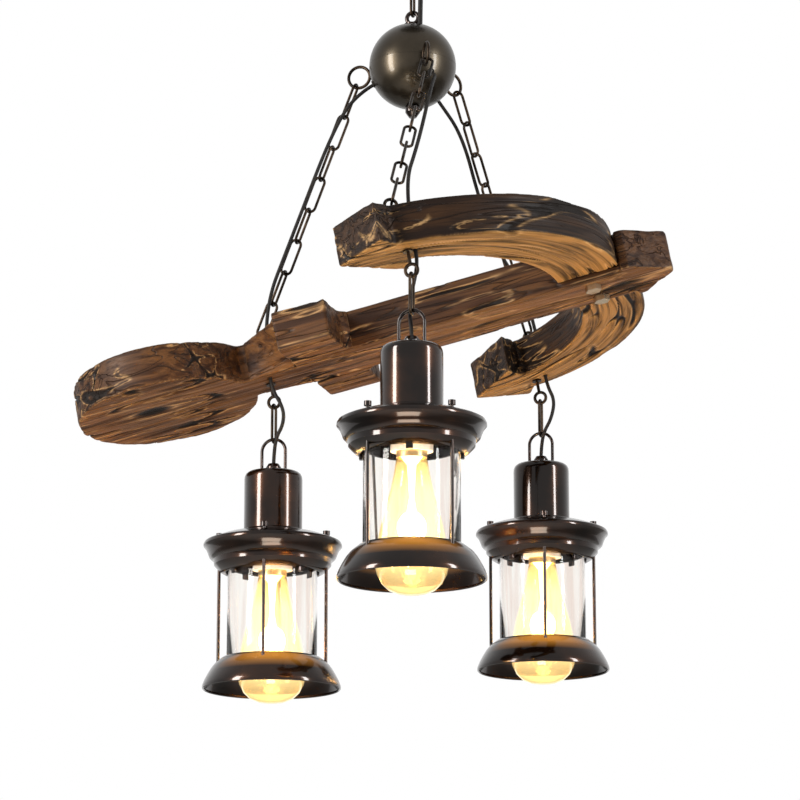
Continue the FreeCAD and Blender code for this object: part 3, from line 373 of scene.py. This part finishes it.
def wood_material(name, dark, middle, pale, chipped, golden):
    item, tree, shader = bare_material(name)
    group = tree.nodes.new("ShaderNodeGroup")
    group.node_tree = grain
    for label, colour in (("Dark", dark), ("Middle", middle), ("Pale", pale), ("Chipped", chipped),
                          ("Golden", golden)):
        group.inputs[label].default_value = (*colour, 1)
    along = tree.nodes.new("ShaderNodeAttribute")
    along.attribute_name = "grain_place"
    wear = tree.nodes.new("ShaderNodeAttribute")
    wear.attribute_name = "edge_wear"
    below = tree.nodes.new("ShaderNodeAttribute")
    below.attribute_name = "underside"
    carved = tree.nodes.new("ShaderNodeAttribute")
    carved.attribute_name = "carved"
    link_nodes(tree, (along.outputs["Vector"], group.inputs["Vector"]),
               (wear.outputs["Fac"], group.inputs["Wear"]),
               (below.outputs["Fac"], group.inputs["Underside"]),
               (carved.outputs["Fac"], group.inputs["Carved"]),
               (group.outputs["Color"], shader.inputs["Base Color"]),
               (group.outputs["Roughness"], shader.inputs["Roughness"]))
    relief_from(tree, shader, group.outputs["Height"], 0.8, 0.0012)
    shader.inputs["Specular IOR Level"].default_value = 0.1
    return item


PEARL_BASE = (0.007, 0.0035, 0.0022)
PEARL_WARM = (0.024, 0.01, 0.005)
PEARL_SCALE = 22
PEARL_ROUGH = (0.16, 0.3)


def pearl_metal(name):
    return metal_material(name, PEARL_BASE, PEARL_WARM, PEARL_SCALE, PEARL_ROUGH, bump=0.05,
                          coat=0.5)


pearl_black = pearl_metal("pearl_black_metal")
ball_bronze = metal_material("ball_bronze", (0.034, 0.027, 0.019), (0.046, 0.036, 0.025), 26,
                             (0.3, 0.38), bump=0.06, coat=0.15)
chain_black = metal_material("blackened_chain", (0.012, 0.009, 0.007), (0.045, 0.03, 0.02), 60,
                             (0.3, 0.45))
bolt_steel = metal_material("worn_bolt", (0.62, 0.5, 0.34), (0.34, 0.22, 0.12), 70, (0.2, 0.4))
plain_steel = metal_material("zinc_steel", (0.46, 0.45, 0.43), (0.36, 0.35, 0.33), 40, (0.3, 0.45))
cap_brass = metal_material("bulb_cap_brass", (0.62, 0.47, 0.24), (0.5, 0.36, 0.18), 50, (0.28, 0.4))
holder_glaze = metal_material("holder_glaze", (0.75, 0.72, 0.66), (0.62, 0.57, 0.5), 30,
                              (0.25, 0.4), metallic=0.0)
block_plastic = metal_material("terminal_plastic", (0.8, 0.79, 0.75), (0.7, 0.68, 0.62), 40,
                               (0.35, 0.5), metallic=0.0)
cord_skin = metal_material("cord_skin", (0.005, 0.004, 0.004), (0.012, 0.01, 0.008), 80,
                           (0.45, 0.65), metallic=0.0, bump=0.3, specular=0.12)
shank_wood = wood_material("shank_wood", (0.008, 0.003, 0.0014), (0.032, 0.012, 0.0042),
                           (0.1, 0.044, 0.016), (0.46, 0.28, 0.13), (0.1, 0.042, 0.013))
arm_wood = wood_material("arm_wood", (0.003, 0.0014, 0.0009), (0.011, 0.0046, 0.002),
                         (0.045, 0.021, 0.009), (0.48, 0.29, 0.13), (0.25, 0.12, 0.032))

# %% [markdown]
# ## The hewn wood
# The anchor is cut from planks, and its edges are knocked about and chipped. A bevel would be
# too even. Here a merged copy of each CAD board is rebuilt as an even grid of small faces and
# then smoothed a little. The smoothing moves only the points near an edge, so how far a point
# moved is also a map of the edges. That map chips and colours them. Cracks, grooves and a knot
# are pressed in, always inwards, so that the wood stays inside its CAD board. Every point also
# carries its place in the plank, so that the grain runs along the board and round the arms.

# %% Boards
DISC_FROM_BALL = Vector((-0.240, 0, -0.320))
PITCH = math.radians(-11.6)
ROLL = math.radians(-2.3)
WOOD_PLACE = (Matrix.Translation(BALL + DISC_FROM_BALL) @ Matrix.Rotation(PITCH, 4, "Y")
              @ Matrix.Rotation(ROLL, 4, "X"))
WOOD_LOCAL = WOOD_PLACE.inverted()


KNOT = Vector((-0.012, -0.012, 0))
ARM_CENTRE = (0.25, 0.043)
ARM_GRAIN_RADIUS = 0.17
CRACK_DEPTH = 0.0024
SWELL_DEPTH = 0.0006
SMOOTHINGS = 5
EDGE_FROM = 0.0004
EDGE_SPAN = 0.0006


def straight_grain(place):
    """Grain along the plank that bows round a knot in the disc."""
    offset = place - KNOT
    pull = math.exp(-(offset.x / 0.05) ** 2 - (offset.y / 0.022) ** 2)
    return Vector((place.x, place.y - 0.011 * pull * math.copysign(1, offset.y), place.z))


def arm_grain(centre, side):
    """Grain that follows an arm round its own circle."""
    def follow(place):
        across = place.y - side * centre[1]
        along = place.x - centre[0]
        radius = math.hypot(along, across)
        angle = math.atan2(across, along)
        return Vector((angle * ARM_GRAIN_RADIUS, radius + side, place.z))
    return follow


def rebuilt(node, voxel):
    """A merged copy of a CAD board in the plank's own axes, as an even grid of small faces."""
    bm = bmesh.new()
    bm.from_mesh(frame["nodes"][node].data)
    bmesh.ops.remove_doubles(bm, verts=bm.verts, dist=1e-5)
    bmesh.ops.transform(bm, matrix=WOOD_LOCAL, verts=bm.verts)
    mesh = bpy.data.meshes.new(node + "_copy")
    bm.to_mesh(mesh)
    bm.free()
    copy = bpy.data.objects.new(node + "_copy", mesh)
    bpy.context.scene.collection.objects.link(copy)
    remesh = copy.modifiers.new("even_grid", "REMESH")
    remesh.mode = "VOXEL"
    remesh.voxel_size = voxel
    depsgraph = bpy.context.evaluated_depsgraph_get()
    even = bpy.data.meshes.new_from_object(copy.evaluated_get(depsgraph))
    bpy.data.objects.remove(copy)
    return even


def point_values(mesh, name, kind, values):
    layer = mesh.attributes.new(name, kind, "POINT")
    layer.data.foreach_set("vector" if kind == "FLOAT_VECTOR" else "value", values)


def crack_at(place):
    """How far into a crack a place is: 1 in its middle and 0 away from it."""
    line = noise.noise(Vector((place.x * 7, place.y * 42, place.z * 42)) + Vector((2, 5, 9)))
    fork = noise.noise(Vector((place.x * 11, place.y * 75, place.z * 75)) + Vector((4, 1, 3)))
    broken = noise.noise(Vector((place.x * 16, place.y * 24, place.z * 24)))
    share = max(0.0, 1 - abs(line) * 12) + 0.8 * max(0.0, 1 - abs(fork) * 14)
    return min(1.0, share) * min(1.0, max(0.0, 0.35 + 2.4 * broken))


def knot_at(place, knots):
    """How near the heart of a knot a place is."""
    nearest = 0.0
    for knot in knots:
        offset = place - knot
        nearest = max(nearest, math.exp(-(offset.x / 0.016) ** 2 - (offset.y / 0.008) ** 2))
    return nearest


def board(node, name, material, grain_of, knots=(), voxel=0.0015, chip=0.0024, groove=0.0011):
    mesh = rebuilt(node, voxel)
    bm = bmesh.new()
    bm.from_mesh(mesh)
    before = [vertex.co.copy() for vertex in bm.verts]
    for _ in range(SMOOTHINGS):
        bmesh.ops.smooth_vert(bm, verts=bm.verts, factor=0.5, use_axis_x=True, use_axis_y=True,
                              use_axis_z=True)
    bm.normal_update()
    places = []
    wears = []
    belows = []
    cracks_here = []
    for vertex, old in zip(bm.verts, before):
        place = grain_of(old)
        wear = max(0.0, min(1.0, ((vertex.co - old).length - EDGE_FROM) / EDGE_SPAN))
        lumps = noise.noise(Vector((place.x * 45, place.y * 80, place.z * 80)) + Vector((7, 3, 1)))
        fibre = noise.noise(Vector((place.x * 9, place.y * 95, place.z * 95)))
        swell = noise.noise(Vector((place.x * 6, place.y * 16, place.z * 16)))
        depth = wear * chip * max(0.0, lumps) + groove * max(0.0, fibre) ** 0.7
        # Crack depth also goes to the carved attribute, whose deep parts are painted near-black as
        # shade.
        crack = max(crack_at(place), knot_at(old, knots))
        depth += SWELL_DEPTH * max(0.0, swell) + CRACK_DEPTH * crack
        cracks_here.append(crack)
        # Underside share from how far the face turns down. It feeds the golden colour, which is partly
        # painted light from below.
        below = max(0.0, min(1.0, -1.6 * vertex.normal.z - 0.3))
        places.append(place)
        wears.append(min(1.0, wear * (0.5 + 1.8 * max(0.0, lumps + 0.1))))
        belows.append(below)
        vertex.co -= vertex.normal * depth
    bmesh.ops.transform(bm, matrix=WOOD_PLACE, verts=bm.verts)
    bm.to_mesh(mesh)
    bm.free()
    point_values(mesh, "grain_place", "FLOAT_VECTOR", [value for place in places for value in place])
    point_values(mesh, "edge_wear", "FLOAT", wears)
    point_values(mesh, "underside", "FLOAT", belows)
    point_values(mesh, "carved", "FLOAT", cracks_here)
    mesh.polygons.foreach_set("use_smooth", [True] * len(mesh.polygons))
    mesh.materials.clear()
    mesh.materials.append(material)
    piece = bpy.data.objects.new(name, mesh)
    bpy.context.scene.collection.objects.link(piece)
    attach(piece, "anchor_frame")
    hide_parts(node)
    print(name, len(mesh.polygons), "faces")
    return piece


board("shank_board", "carved_shank", shank_wood, straight_grain, knots=(KNOT,))
board("stock_bars", "carved_stock", shank_wood, straight_grain)
board("near_arm", "carved_near_arm", arm_wood, arm_grain(ARM_CENTRE, -1))
board("far_arm", "carved_far_arm", arm_wood, arm_grain(ARM_CENTRE, 1))

# %% [markdown]
# ## Turned pieces
# The ball, the cups, the caps and the skirts are spun metal, and the glass is a cylinder. All
# are turned shapes, so half of the section is drawn and spun round its axis. The sections of
# sheet metal are drawn with rolled, rounded corners, which catch the light as thin lines. The
# glass has plain corners, which a bevel rounds after the spin.

# %% Lathe
def finished(bm, name, body, material, replaced=(), sharp=32):
    mesh = bpy.data.meshes.new(name)
    bmesh.ops.recalc_face_normals(bm, faces=bm.faces)
    bm.to_mesh(mesh)
    bm.free()
    mesh.polygons.foreach_set("use_smooth", [True] * len(mesh.polygons))
    mesh.set_sharp_from_angle(angle=math.radians(sharp))
    mesh.materials.append(material)
    piece = bpy.data.objects.new(name, mesh)
    bpy.context.scene.collection.objects.link(piece)
    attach(piece, body)
    if replaced:
        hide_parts(*replaced)
    return piece


def spun(section, centre, closed=True, steps=96, bevel=0.0, segments=2):
    """A section of (radius, height) corners in millimetres, spun about the upright axis."""
    bm = bmesh.new()
    corners = [bm.verts.new((radius * MM, 0, height * MM)) for radius, height in section]
    edges = [bm.edges.new(pair) for pair in zip(corners, corners[1:])]
    if closed:
        edges.append(bm.edges.new((corners[-1], corners[0])))
    bmesh.ops.spin(bm, geom=corners + edges, cent=(0, 0, 0), axis=(0, 0, 1), dvec=(0, 0, 0),
                   angle=2 * math.pi, steps=steps, use_merge=True, use_duplicate=False)
    bmesh.ops.remove_doubles(bm, verts=bm.verts, dist=1e-6)
    if bevel:
        rings = [edge for edge in bm.edges if edge.is_manifold
                 and edge.calc_face_angle(0) > math.radians(18)
                 and abs(edge.verts[0].co.z - edge.verts[1].co.z) < 1e-6]
        bmesh.ops.bevel(bm, geom=rings, offset=bevel * MM, segments=segments, profile=0.5,
                        affect="EDGES", material=-1, clamp_overlap=True)
    bmesh.ops.translate(bm, verts=bm.verts, vec=centre)
    return bm


# %% [markdown]
# ## The ball
# The ball is two spun shells that meet at its widest ring, where a hair line shows. Small
# rubber-lined grommets edge the holes that the cords come out of.

# %% Ball shells and grommets
BALL_RADIUS = 41
BALL_WALL = 1.5
BALL_HOLE = 4.1
SEAM_GAP = 0.06


def shell_section(side, steps=28):
    arc = [math.radians(side * 90 * step / steps) for step in range(steps + 1)]
    hole = math.acos(BALL_HOLE / BALL_RADIUS)
    outer = [(BALL_RADIUS * math.cos(a), BALL_RADIUS * math.sin(a)) for a in arc if abs(a) < hole]
    inner_radius = BALL_RADIUS - BALL_WALL
    inner = [(inner_radius * math.cos(a), inner_radius * math.sin(a)) for a in arc if abs(a) < hole]
    lip = [(BALL_HOLE, side * math.sqrt(BALL_RADIUS ** 2 - BALL_HOLE ** 2)),
           (BALL_HOLE, side * math.sqrt(inner_radius ** 2 - BALL_HOLE ** 2))]
    outer[0] = (outer[0][0], side * SEAM_GAP)
    return outer + lip + inner[::-1]


for label, side in (("upper", 1), ("lower", -1)):
    shell = spun(shell_section(side), BALL, steps=128)
    finished(shell, "spun_ball_" + label, "anchor_frame", ball_bronze,
             ["ball_%s_shell" % label])

CORD_WAYS = {"ring": (-0.8828, -0.2201, -0.4150), "near": (0.6320, -0.6544, -0.4150),
             "far": (0.2508, 0.8744, -0.4150)}


def ring_piece(name, radius, wire, centre, axis, body, material, steps=48):
    """A round wire bent into a ring."""
    bm = bmesh.new()
    bmesh.ops.create_circle(bm, segments=14, radius=wire * MM)
    bmesh.ops.rotate(bm, verts=bm.verts, cent=(0, 0, 0), matrix=Matrix.Rotation(math.pi / 2, 3, "X"))
    bmesh.ops.translate(bm, verts=bm.verts, vec=(radius * MM, 0, 0))
    bmesh.ops.spin(bm, geom=bm.verts[:] + bm.edges[:], cent=(0, 0, 0), axis=(0, 0, 1),
                   dvec=(0, 0, 0), angle=2 * math.pi, steps=steps, use_merge=True,
                   use_duplicate=False)
    bmesh.ops.remove_doubles(bm, verts=bm.verts, dist=1e-6)
    turn = Vector((0, 0, 1)).rotation_difference(Vector(axis)).to_matrix()
    bmesh.ops.rotate(bm, verts=bm.verts, cent=(0, 0, 0), matrix=turn)
    bmesh.ops.translate(bm, verts=bm.verts, vec=centre)
    return finished(bm, name, body, material)


for name, way in CORD_WAYS.items():
    ring_piece("ball_grommet_" + name, 2.7, 0.8, BALL + Vector(way) * BALL_RADIUS * MM, way,
               "anchor_frame", cord_skin)

# %% [markdown]
# ## The lanterns
# Each lantern is a cup over a domed cap, a glass chimney inside four rods, and a flared skirt.
# The three are alike, so one set of sections is spun three times. Only the turn of the rods
# differs. The sections follow the CAD sizes, with rolled rims that plain corners lack.

# %% Lantern sections
CUP = ((5.2, -0.05), (20.5, -0.05), (23.6, -0.6), (25.6, -2.2), (26.7, -4.6), (27, -7.5),
       (27, -54.4), (27, -55.4), (25.8, -55.4), (25.8, -7), (24.2, -2.6), (20.5, -1.25),
       (5.2, -1.25))
CAP = ((20, -55.4), (28, -55.4), (29.4, -55.7), (30.4, -56.6), (30.8, -57.8), (38, -59),
       (47, -60.8), (54, -63.2), (60, -65.4), (63, -66.8), (64, -68.6), (64, -70.2),
       (63, -71.4), (61.6, -73), (59.8, -77.2), (58.6, -80.6), (57, -82.2), (55, -83.2),
       (54.4, -85), (54, -88), (52.4, -89.8), (49, -93.2), (45.4, -95.3), (44, -95.6),
       (43, -94.8), (44.8, -94), (48, -91.8), (51.2, -88.4), (52.8, -85), (53.6, -82.4),
       (57, -80), (58.4, -76.4), (60.4, -72.2), (62.7, -70), (62.7, -68.6), (54, -64.6),
       (44, -61.4), (30, -59.2), (28, -56.8), (20, -56.6))
SKIRT = ((36, -174.1), (43.6, -174.1), (45.4, -174.5), (48, -176.6), (52, -179.8),
         (55.4, -184), (58.6, -189.3), (61.6, -195), (63.3, -199.5), (63.6, -201.1),
         (63.4, -202.5), (62.5, -203.1), (61.7, -202.3), (62.2, -200.7), (60.2, -195.6),
         (57.3, -189.9), (54.2, -185), (51, -181), (47, -177.9), (44.6, -175.5), (36, -175.3))
# How far down the skirt its painted glow of bulb light reaches, in millimetres.
PAINTED_GLOW_DEPTH = 12
CHIMNEY = ((41.5, -174.1), (41.5, -87.6), (39.5, -87.6), (39.5, -174.1))


def streaked_glass(name, tint, rough, ior, scale, streak_stops):
    """Clear glass with faint upright streaks, which shadow rays pass."""
    item, tree, shader = bare_material(name)
    place = tree.nodes.new("ShaderNodeTexCoord")
    drawn = tree.nodes.new("ShaderNodeMapping")
    drawn.inputs["Scale"].default_value = (scale, scale, scale * 0.06)
    tree.links.new(place.outputs["Object"], drawn.inputs["Vector"])
    streak = noise_node(tree, drawn.outputs["Vector"], 1.0, 3, 0.3)
    share = ramp(tree, streak, streak_stops)
    colour = mixed(tree, share, (*tint[0], 1), (*tint[1], 1))
    rough_share = ramp(tree, streak, ((0.4, rough[0]), (0.8, rough[1])))
    link_nodes(tree, (colour, shader.inputs["Base Color"]),
               (rough_share, shader.inputs["Roughness"]))
    relief_from(tree, shader, streak, 0.05, 0.0006)
    shader.inputs["Transmission Weight"].default_value = 1.0
    shader.inputs["IOR"].default_value = ior
    clear = tree.nodes.new("ShaderNodeBsdfTransparent")
    path = tree.nodes.new("ShaderNodeLightPath")
    choose = tree.nodes.new("ShaderNodeMixShader")
    out = tree.nodes["Material Output"]
    link_nodes(tree, (path.outputs["Is Shadow Ray"], choose.inputs["Fac"]),
               (shader.outputs[0], choose.inputs[1]), (clear.outputs[0], choose.inputs[2]),
               (choose.outputs[0], out.inputs["Surface"]))
    return item, tree, shader


# Painted glow on the skirts: the metal gets a warm orange emission at the top of the skirt, by the foot
# of the glass, strongest where it faces the viewer. It stands in for the bulb's light there, though the
# skirt is no lamp.
skirt_painted_glow = pearl_metal("skirt_metal_painted_glow")
tree = skirt_painted_glow.node_tree
painted_glow_zone = tree.nodes.new("ShaderNodeAttribute")
painted_glow_zone.attribute_name = "glow"
facing = tree.nodes.new("ShaderNodeLayerWeight")
facing.inputs["Blend"].default_value = 0.4
painted_glow_share = maths(tree, "MULTIPLY", painted_glow_zone.outputs["Fac"],
              ramp(tree, facing.outputs["Facing"], ((0.25, 1.0), (0.62, 0.0))))
link_nodes(tree, (mixed(tree, painted_glow_share, (0, 0, 0, 1), (0.9, 0.36, 0.05, 1)),
                  tree.nodes["Principled BSDF"].inputs["Emission Color"]))
tree.nodes["Principled BSDF"].inputs["Emission Strength"].default_value = 1.7

chimney_glass = streaked_glass("chimney_glass", ((0.985, 0.97, 0.945), (0.84, 0.72, 0.66)),
                               (0.015, 0.06), 1.22, 90, ((0.5, 0.0), (0.66, 0.75)))[0]

for name in LANTERNS:
    body = "lantern_" + name
    centre = CUP_TOP[name]
    finished(spun(CUP, centre), "spun_cup_" + name, body, pearl_black,
             ["lampholder_cup_" + name])
    finished(spun(CAP, centre, steps=128), "spun_cap_" + name, body, pearl_black,
             ["lantern_cap_" + name])
    skirt = finished(spun(SKIRT, centre, steps=128), "spun_skirt_" + name, body,
                     skirt_painted_glow, ["base_skirt_" + name])
    # Painted glow share of each skirt point: 1 at the top of the skirt, falling to 0 lower down.
    heights = [(vertex.co.z - centre.z) / MM for vertex in skirt.data.vertices]
    point_values(skirt.data, "glow", "FLOAT",
                 [max(0.0, 1 - (SKIRT[0][1] - height) / PAINTED_GLOW_DEPTH) for height in heights])
    finished(spun(CHIMNEY, centre, steps=128, bevel=0.6), "blown_chimney_" + name, body,
             chimney_glass, ["glass_chimney_" + name])

# %% [markdown]
# ## The bulbs
# The bulbs are lit. Their glass is a clear amber envelope that widens low down, with a bright
# wire cage inside. The envelope glows by itself, most along its middle, because at this size
# the light that scatters in the glass is what the eye sees. A small warm lamp inside each one
# lights the skirt and the rods. It is a light and no piece, so it stays when a bulb slides out.

# %% Bulbs
BULB = ((12.2, -96.4), (12.2, -100.4), (13.4, -102.8), (14.2, -106.4), (15.6, -114.4),
        (18.2, -125.4), (22.4, -139.4), (26.8, -153.4), (30, -166.4), (31.7, -176.4),
        (32, -183.4), (31.4, -190.4), (29.4, -198.4), (25.6, -206), (19.6, -211.6),
        (11.5, -214.6), (4, -215.4), (0, -215.4))
BULB_WALL = 0.9
GLOW_TOP = -112
GLOW_BOTTOM = -203
LAMP_DROP = Vector((0, 0, -0.155))
LAMP_RADIUS = 0.014


def bulb_piece(name, centre):
    inner = [(max(0.0, radius - BULB_WALL), height + (BULB_WALL if radius < 20 and height < -200
                                                     else 0)) for radius, height in BULB]
    bm = spun(BULB + tuple(inner[::-1]), centre, steps=64)
    piece = finished(bm, "blown_bulb_" + name, "bulb_" + name, bulb_glow,
                     ["bulb_glass_" + name], sharp=80)
    middle = (GLOW_TOP + GLOW_BOTTOM) / 2
    half = (GLOW_TOP - GLOW_BOTTOM) / 2
    shares = []
    for vertex in piece.data.vertices:
        height = (vertex.co.z - centre.z) / MM
        shares.append(max(0.0, 1 - ((height - middle) / half) ** 2))
    point_values(piece.data, "glow", "FLOAT", shares)


bulb_glow, tree, shader = streaked_glass("lit_bulb_glass", ((0.97, 0.84, 0.5), (0.93, 0.7, 0.3)),
                                         (0.02, 0.08), 1.4, 40, ((0.45, 0.0), (0.75, 0.35)))
facing = tree.nodes.new("ShaderNodeLayerWeight")
facing.inputs["Blend"].default_value = 0.35
zone = tree.nodes.new("ShaderNodeAttribute")
zone.attribute_name = "glow"
centre_glow = maths(tree, "MULTIPLY", ramp(tree, zone.outputs["Fac"], ((0.0, 0.25), (0.6, 1.0))),
                    ramp(tree, facing.outputs["Facing"], ((0.0, 1.0), (0.45, 0.8), (0.85, 0.0))))
glow_colour = mixed(tree, centre_glow, (0.3, 0.16, 0.03, 1), (0.85, 0.76, 0.5, 1))
link_nodes(tree, (glow_colour, shader.inputs["Emission Color"]))
shader.inputs["Emission Strength"].default_value = 0.4

hot_wire, tree, shader = bare_material("hot_filament")
place = tree.nodes.new("ShaderNodeTexCoord")
heat = noise_node(tree, place.outputs["Object"], 300, 2)
link_nodes(tree, (mixed(tree, heat, (1.0, 0.62, 0.22, 1), (1.0, 0.86, 0.55, 1)),
                  shader.inputs["Emission Color"]))
shader.inputs["Base Color"].default_value = (1.0, 0.7, 0.35, 1)
shader.inputs["Emission Strength"].default_value = 6

for name in LANTERNS:
    bulb_piece(name, CUP_TOP[name])
    light = bpy.data.lights.new("bulb_light_" + name, "POINT")
    light.energy = 3.0
    light.color = (1.0, 0.6, 0.24)
    light.shadow_soft_size = LAMP_RADIUS
    lit = bpy.data.objects.new("bulb_light_" + name, light)
    lit.location = CUP_TOP[name] + LAMP_DROP
    bpy.context.scene.collection.objects.link(lit)

# %% [markdown]
# ## Small hardware
# The chains, eyes, bails, rods and bolts keep their CAD shapes and take metal finishes. Four
# small clips are added round the top of each glass.

# %% Finishes for the CAD hardware
def repaint(node, material, sharp=35):
    mesh = frame["nodes"][node].data
    mesh.materials.clear()
    mesh.materials.append(material)
    mesh.polygons.foreach_set("material_index", [0] * len(mesh.polygons))
    mesh.polygons.foreach_set("use_smooth", [True] * len(mesh.polygons))
    mesh.set_sharp_from_angle(angle=math.radians(sharp))


LOOKS = {
    "ceiling_bracket": plain_steel, "canopy": pearl_black, "canopy_screws": pearl_black,
    "ceiling_loop": pearl_black, "top_chain": chain_black, "ball_hanger_rod": pearl_black,
    "ball_finial": pearl_black, "ball_loops": chain_black, "terminal_block": block_plastic,
    "suspension_chains": chain_black, "crown_bolts": bolt_steel, "screw_eyes": chain_black,
}
for name in LANTERNS:
    LOOKS["lantern_link_" + name] = chain_black
    LOOKS["bail_" + name] = pearl_black
    LOOKS["cord_gland_" + name] = pearl_black
    LOOKS["lampholder_" + name] = holder_glaze
    LOOKS["guard_rods_" + name] = pearl_black
    LOOKS["bulb_cap_" + name] = cap_brass
    LOOKS["bulb_filament_" + name] = hot_wire
for node, material in LOOKS.items():
    repaint(node, material)

TURNS = {"ring": 10, "near": -31, "far": 17}
CLIP_SIZE = (0.003, 0.006, 0.006)
CLIP_PLACE = (0.0432, 0, -0.0965)
for name in LANTERNS:
    bm = bmesh.new()
    for quarter in range(4):
        made = bmesh.ops.create_cube(bm, size=1)["verts"]
        bmesh.ops.scale(bm, verts=made, vec=CLIP_SIZE)
        bmesh.ops.translate(bm, verts=made, vec=CLIP_PLACE)
        turn = Matrix.Rotation(math.radians(TURNS[name] + 45 + 90 * quarter), 3, "Z")
        bmesh.ops.rotate(bm, verts=made, cent=(0, 0, 0), matrix=turn)
    bmesh.ops.bevel(bm, geom=bm.edges[:], offset=0.0006, segments=2, profile=0.5, affect="EDGES",
                    material=-1)
    bmesh.ops.translate(bm, verts=bm.verts, vec=CUP_TOP[name])
    finished(bm, "glass_clips_" + name, "lantern_" + name, pearl_black)

# %% [markdown]
# ## The cords
# A black cord feeds each lantern. It leaves the ball, runs beside its chain, goes through the
# wood and drops with some slack into the gland on top of the cup. A cord is a smooth line, so
# each one is a spline whose control points are its route. Where it crosses a joint it is made
# in two pieces, and the table names the two bodies that each piece spans.

# %% Cord routes
CORD_RADIUS = 1.7
MAINS_RADIUS = 2.3
SUSPENDED = {
    "ring": ((-25.59, -6.38, -202.15), (-46.77, -11.66, -212.13), (-73.27, -9.22, -242.25),
             (-113.89, -9.44, -345.39), (-147.04, -9.58, -429.33), (-134.99, -11.99, -488.05)),
    "near": ((18.32, -18.97, -202.15), (33.49, -34.68, -212.13), (40.0, -71.36, -233.28),
             (46.79, -139.11, -313.69), (50.81, -199.75, -375.19), (62.87, -202.15, -433.92)),
    "far": ((7.27, 25.35, -202.15), (13.29, 46.34, -212.13), (25.64, 81.57, -235.6),
            (31.4, 121.06, -288.64), (42.06, 143.21, -332.52), (58.84, 171.71, -363.55),
            (62.42, 206.51, -389.47), (74.48, 204.1, -448.19)),
}


def spline_line(name, points):
    """A smooth open spline through millimetre points, with no thickness."""
    curve = bpy.data.curves.new(name, "CURVE")
    curve.dimensions = "3D"
    spline = curve.splines.new("NURBS")
    spline.points.add(len(points) - 1)
    for target, place in zip(spline.points, points):
        target.co = (place[0] * MM, place[1] * MM, place[2] * MM, 1)
    spline.order_u = 3
    spline.use_endpoint_u = True
    spline.resolution_u = 12
    return curve


def curve_mesh(name, curve):
    item = bpy.data.objects.new(name, curve)
    bpy.context.scene.collection.objects.link(item)
    depsgraph = bpy.context.evaluated_depsgraph_get()
    mesh = bpy.data.meshes.new_from_object(item.evaluated_get(depsgraph))
    bpy.data.objects.remove(item)
    return mesh


def cord_tube(name, points, radius):
    """The tube, its centreline and its length."""
    curve = spline_line(name, points)
    line = [vertex.co.copy() for vertex in curve_mesh(name + "_line", curve).vertices]
    curve.bevel_depth = radius * MM
    curve.bevel_resolution = 5
    curve.use_fill_caps = True
    mesh = curve_mesh(name, curve)
    mesh.materials.clear()
    mesh.materials.append(cord_skin)
    mesh.polygons.foreach_set("use_smooth", [True] * len(mesh.polygons))
    piece = bpy.data.objects.new(name, mesh)
    bpy.context.scene.collection.objects.link(piece)
    length = sum((b - a).length for a, b in zip(line, line[1:]))
    print(name, round(length / MM, 1), "mm")
    return piece, line, length


for name, points in SUSPENDED.items():
    piece, line, length = cord_tube("suspension_cord_" + name, points, CORD_RADIUS)
    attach(piece, "anchor_frame")
    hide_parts("suspension_cords")

# %% Cords that cross the joints
CORD_SPANS = {
    "mains_upper": (((13.0, -4.0, -18.0), (12.0, -5.0, -60.58), (11.0, -5.75, -83.28)),
                    MAINS_RADIUS, "ceiling", "top_chain", "mains_cord"),
    "mains_lower": (((11.0, -5.75, -83.28), (10.0, -6.5, -105.99), (9.5, -7.5, -159.93)),
                    MAINS_RADIUS, "top_chain", "anchor_frame", "mains_cord"),
    "drop_ring_upper": (((-134.99, -11.99, -488.05), (-132.78, -12.43, -498.82),
                         (-122.07, -11.25, -516.63), (-122.32, -10.75, -524.13)),
                        CORD_RADIUS, "anchor_frame", "link_ring", "lantern_cord_ring"),
    "drop_ring_lower": (((-122.32, -10.75, -524.13), (-122.57, -10.25, -531.63),
                         (-130.57, -8.25, -543.63), (-135.07, -0.75, -561.63),
                         (-135.07, -0.75, -571.63)),
                        CORD_RADIUS, "link_ring", "lantern_ring", "lantern_cord_ring"),
    "drop_near_upper": (((62.87, -202.15, -433.92), (65.08, -202.6, -444.69),
                         (59.15, -200.59, -467.94), (58.15, -201.49, -476.94)),
                        CORD_RADIUS, "anchor_frame", "link_near", "lantern_cord_near"),
    "drop_near_lower": (((58.15, -201.49, -476.94), (57.15, -202.39, -485.94),
                         (61.65, -210.39, -506.94), (61.65, -210.39, -516.94)),
                        CORD_RADIUS, "link_near", "lantern_near", "lantern_cord_near"),
    "drop_far_upper": (((74.48, 204.1, -448.19), (76.69, 203.66, -458.96),
                        (83.98, 203.35, -473.85), (82.48, 201.85, -483.35)),
                       CORD_RADIUS, "anchor_frame", "link_far", "lantern_cord_far"),
    "drop_far_lower": (((82.48, 201.85, -483.35), (80.98, 200.35, -492.85),
                        (72.48, 201.85, -505.85), (67.98, 209.35, -522.85),
                        (67.98, 209.35, -532.85)),
                       CORD_RADIUS, "link_far", "lantern_far", "lantern_cord_far"),
}
for name, (points, radius, first, second, node) in CORD_SPANS.items():
    piece, line, length = cord_tube(name, points, radius)
    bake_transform(piece)
    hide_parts(node)
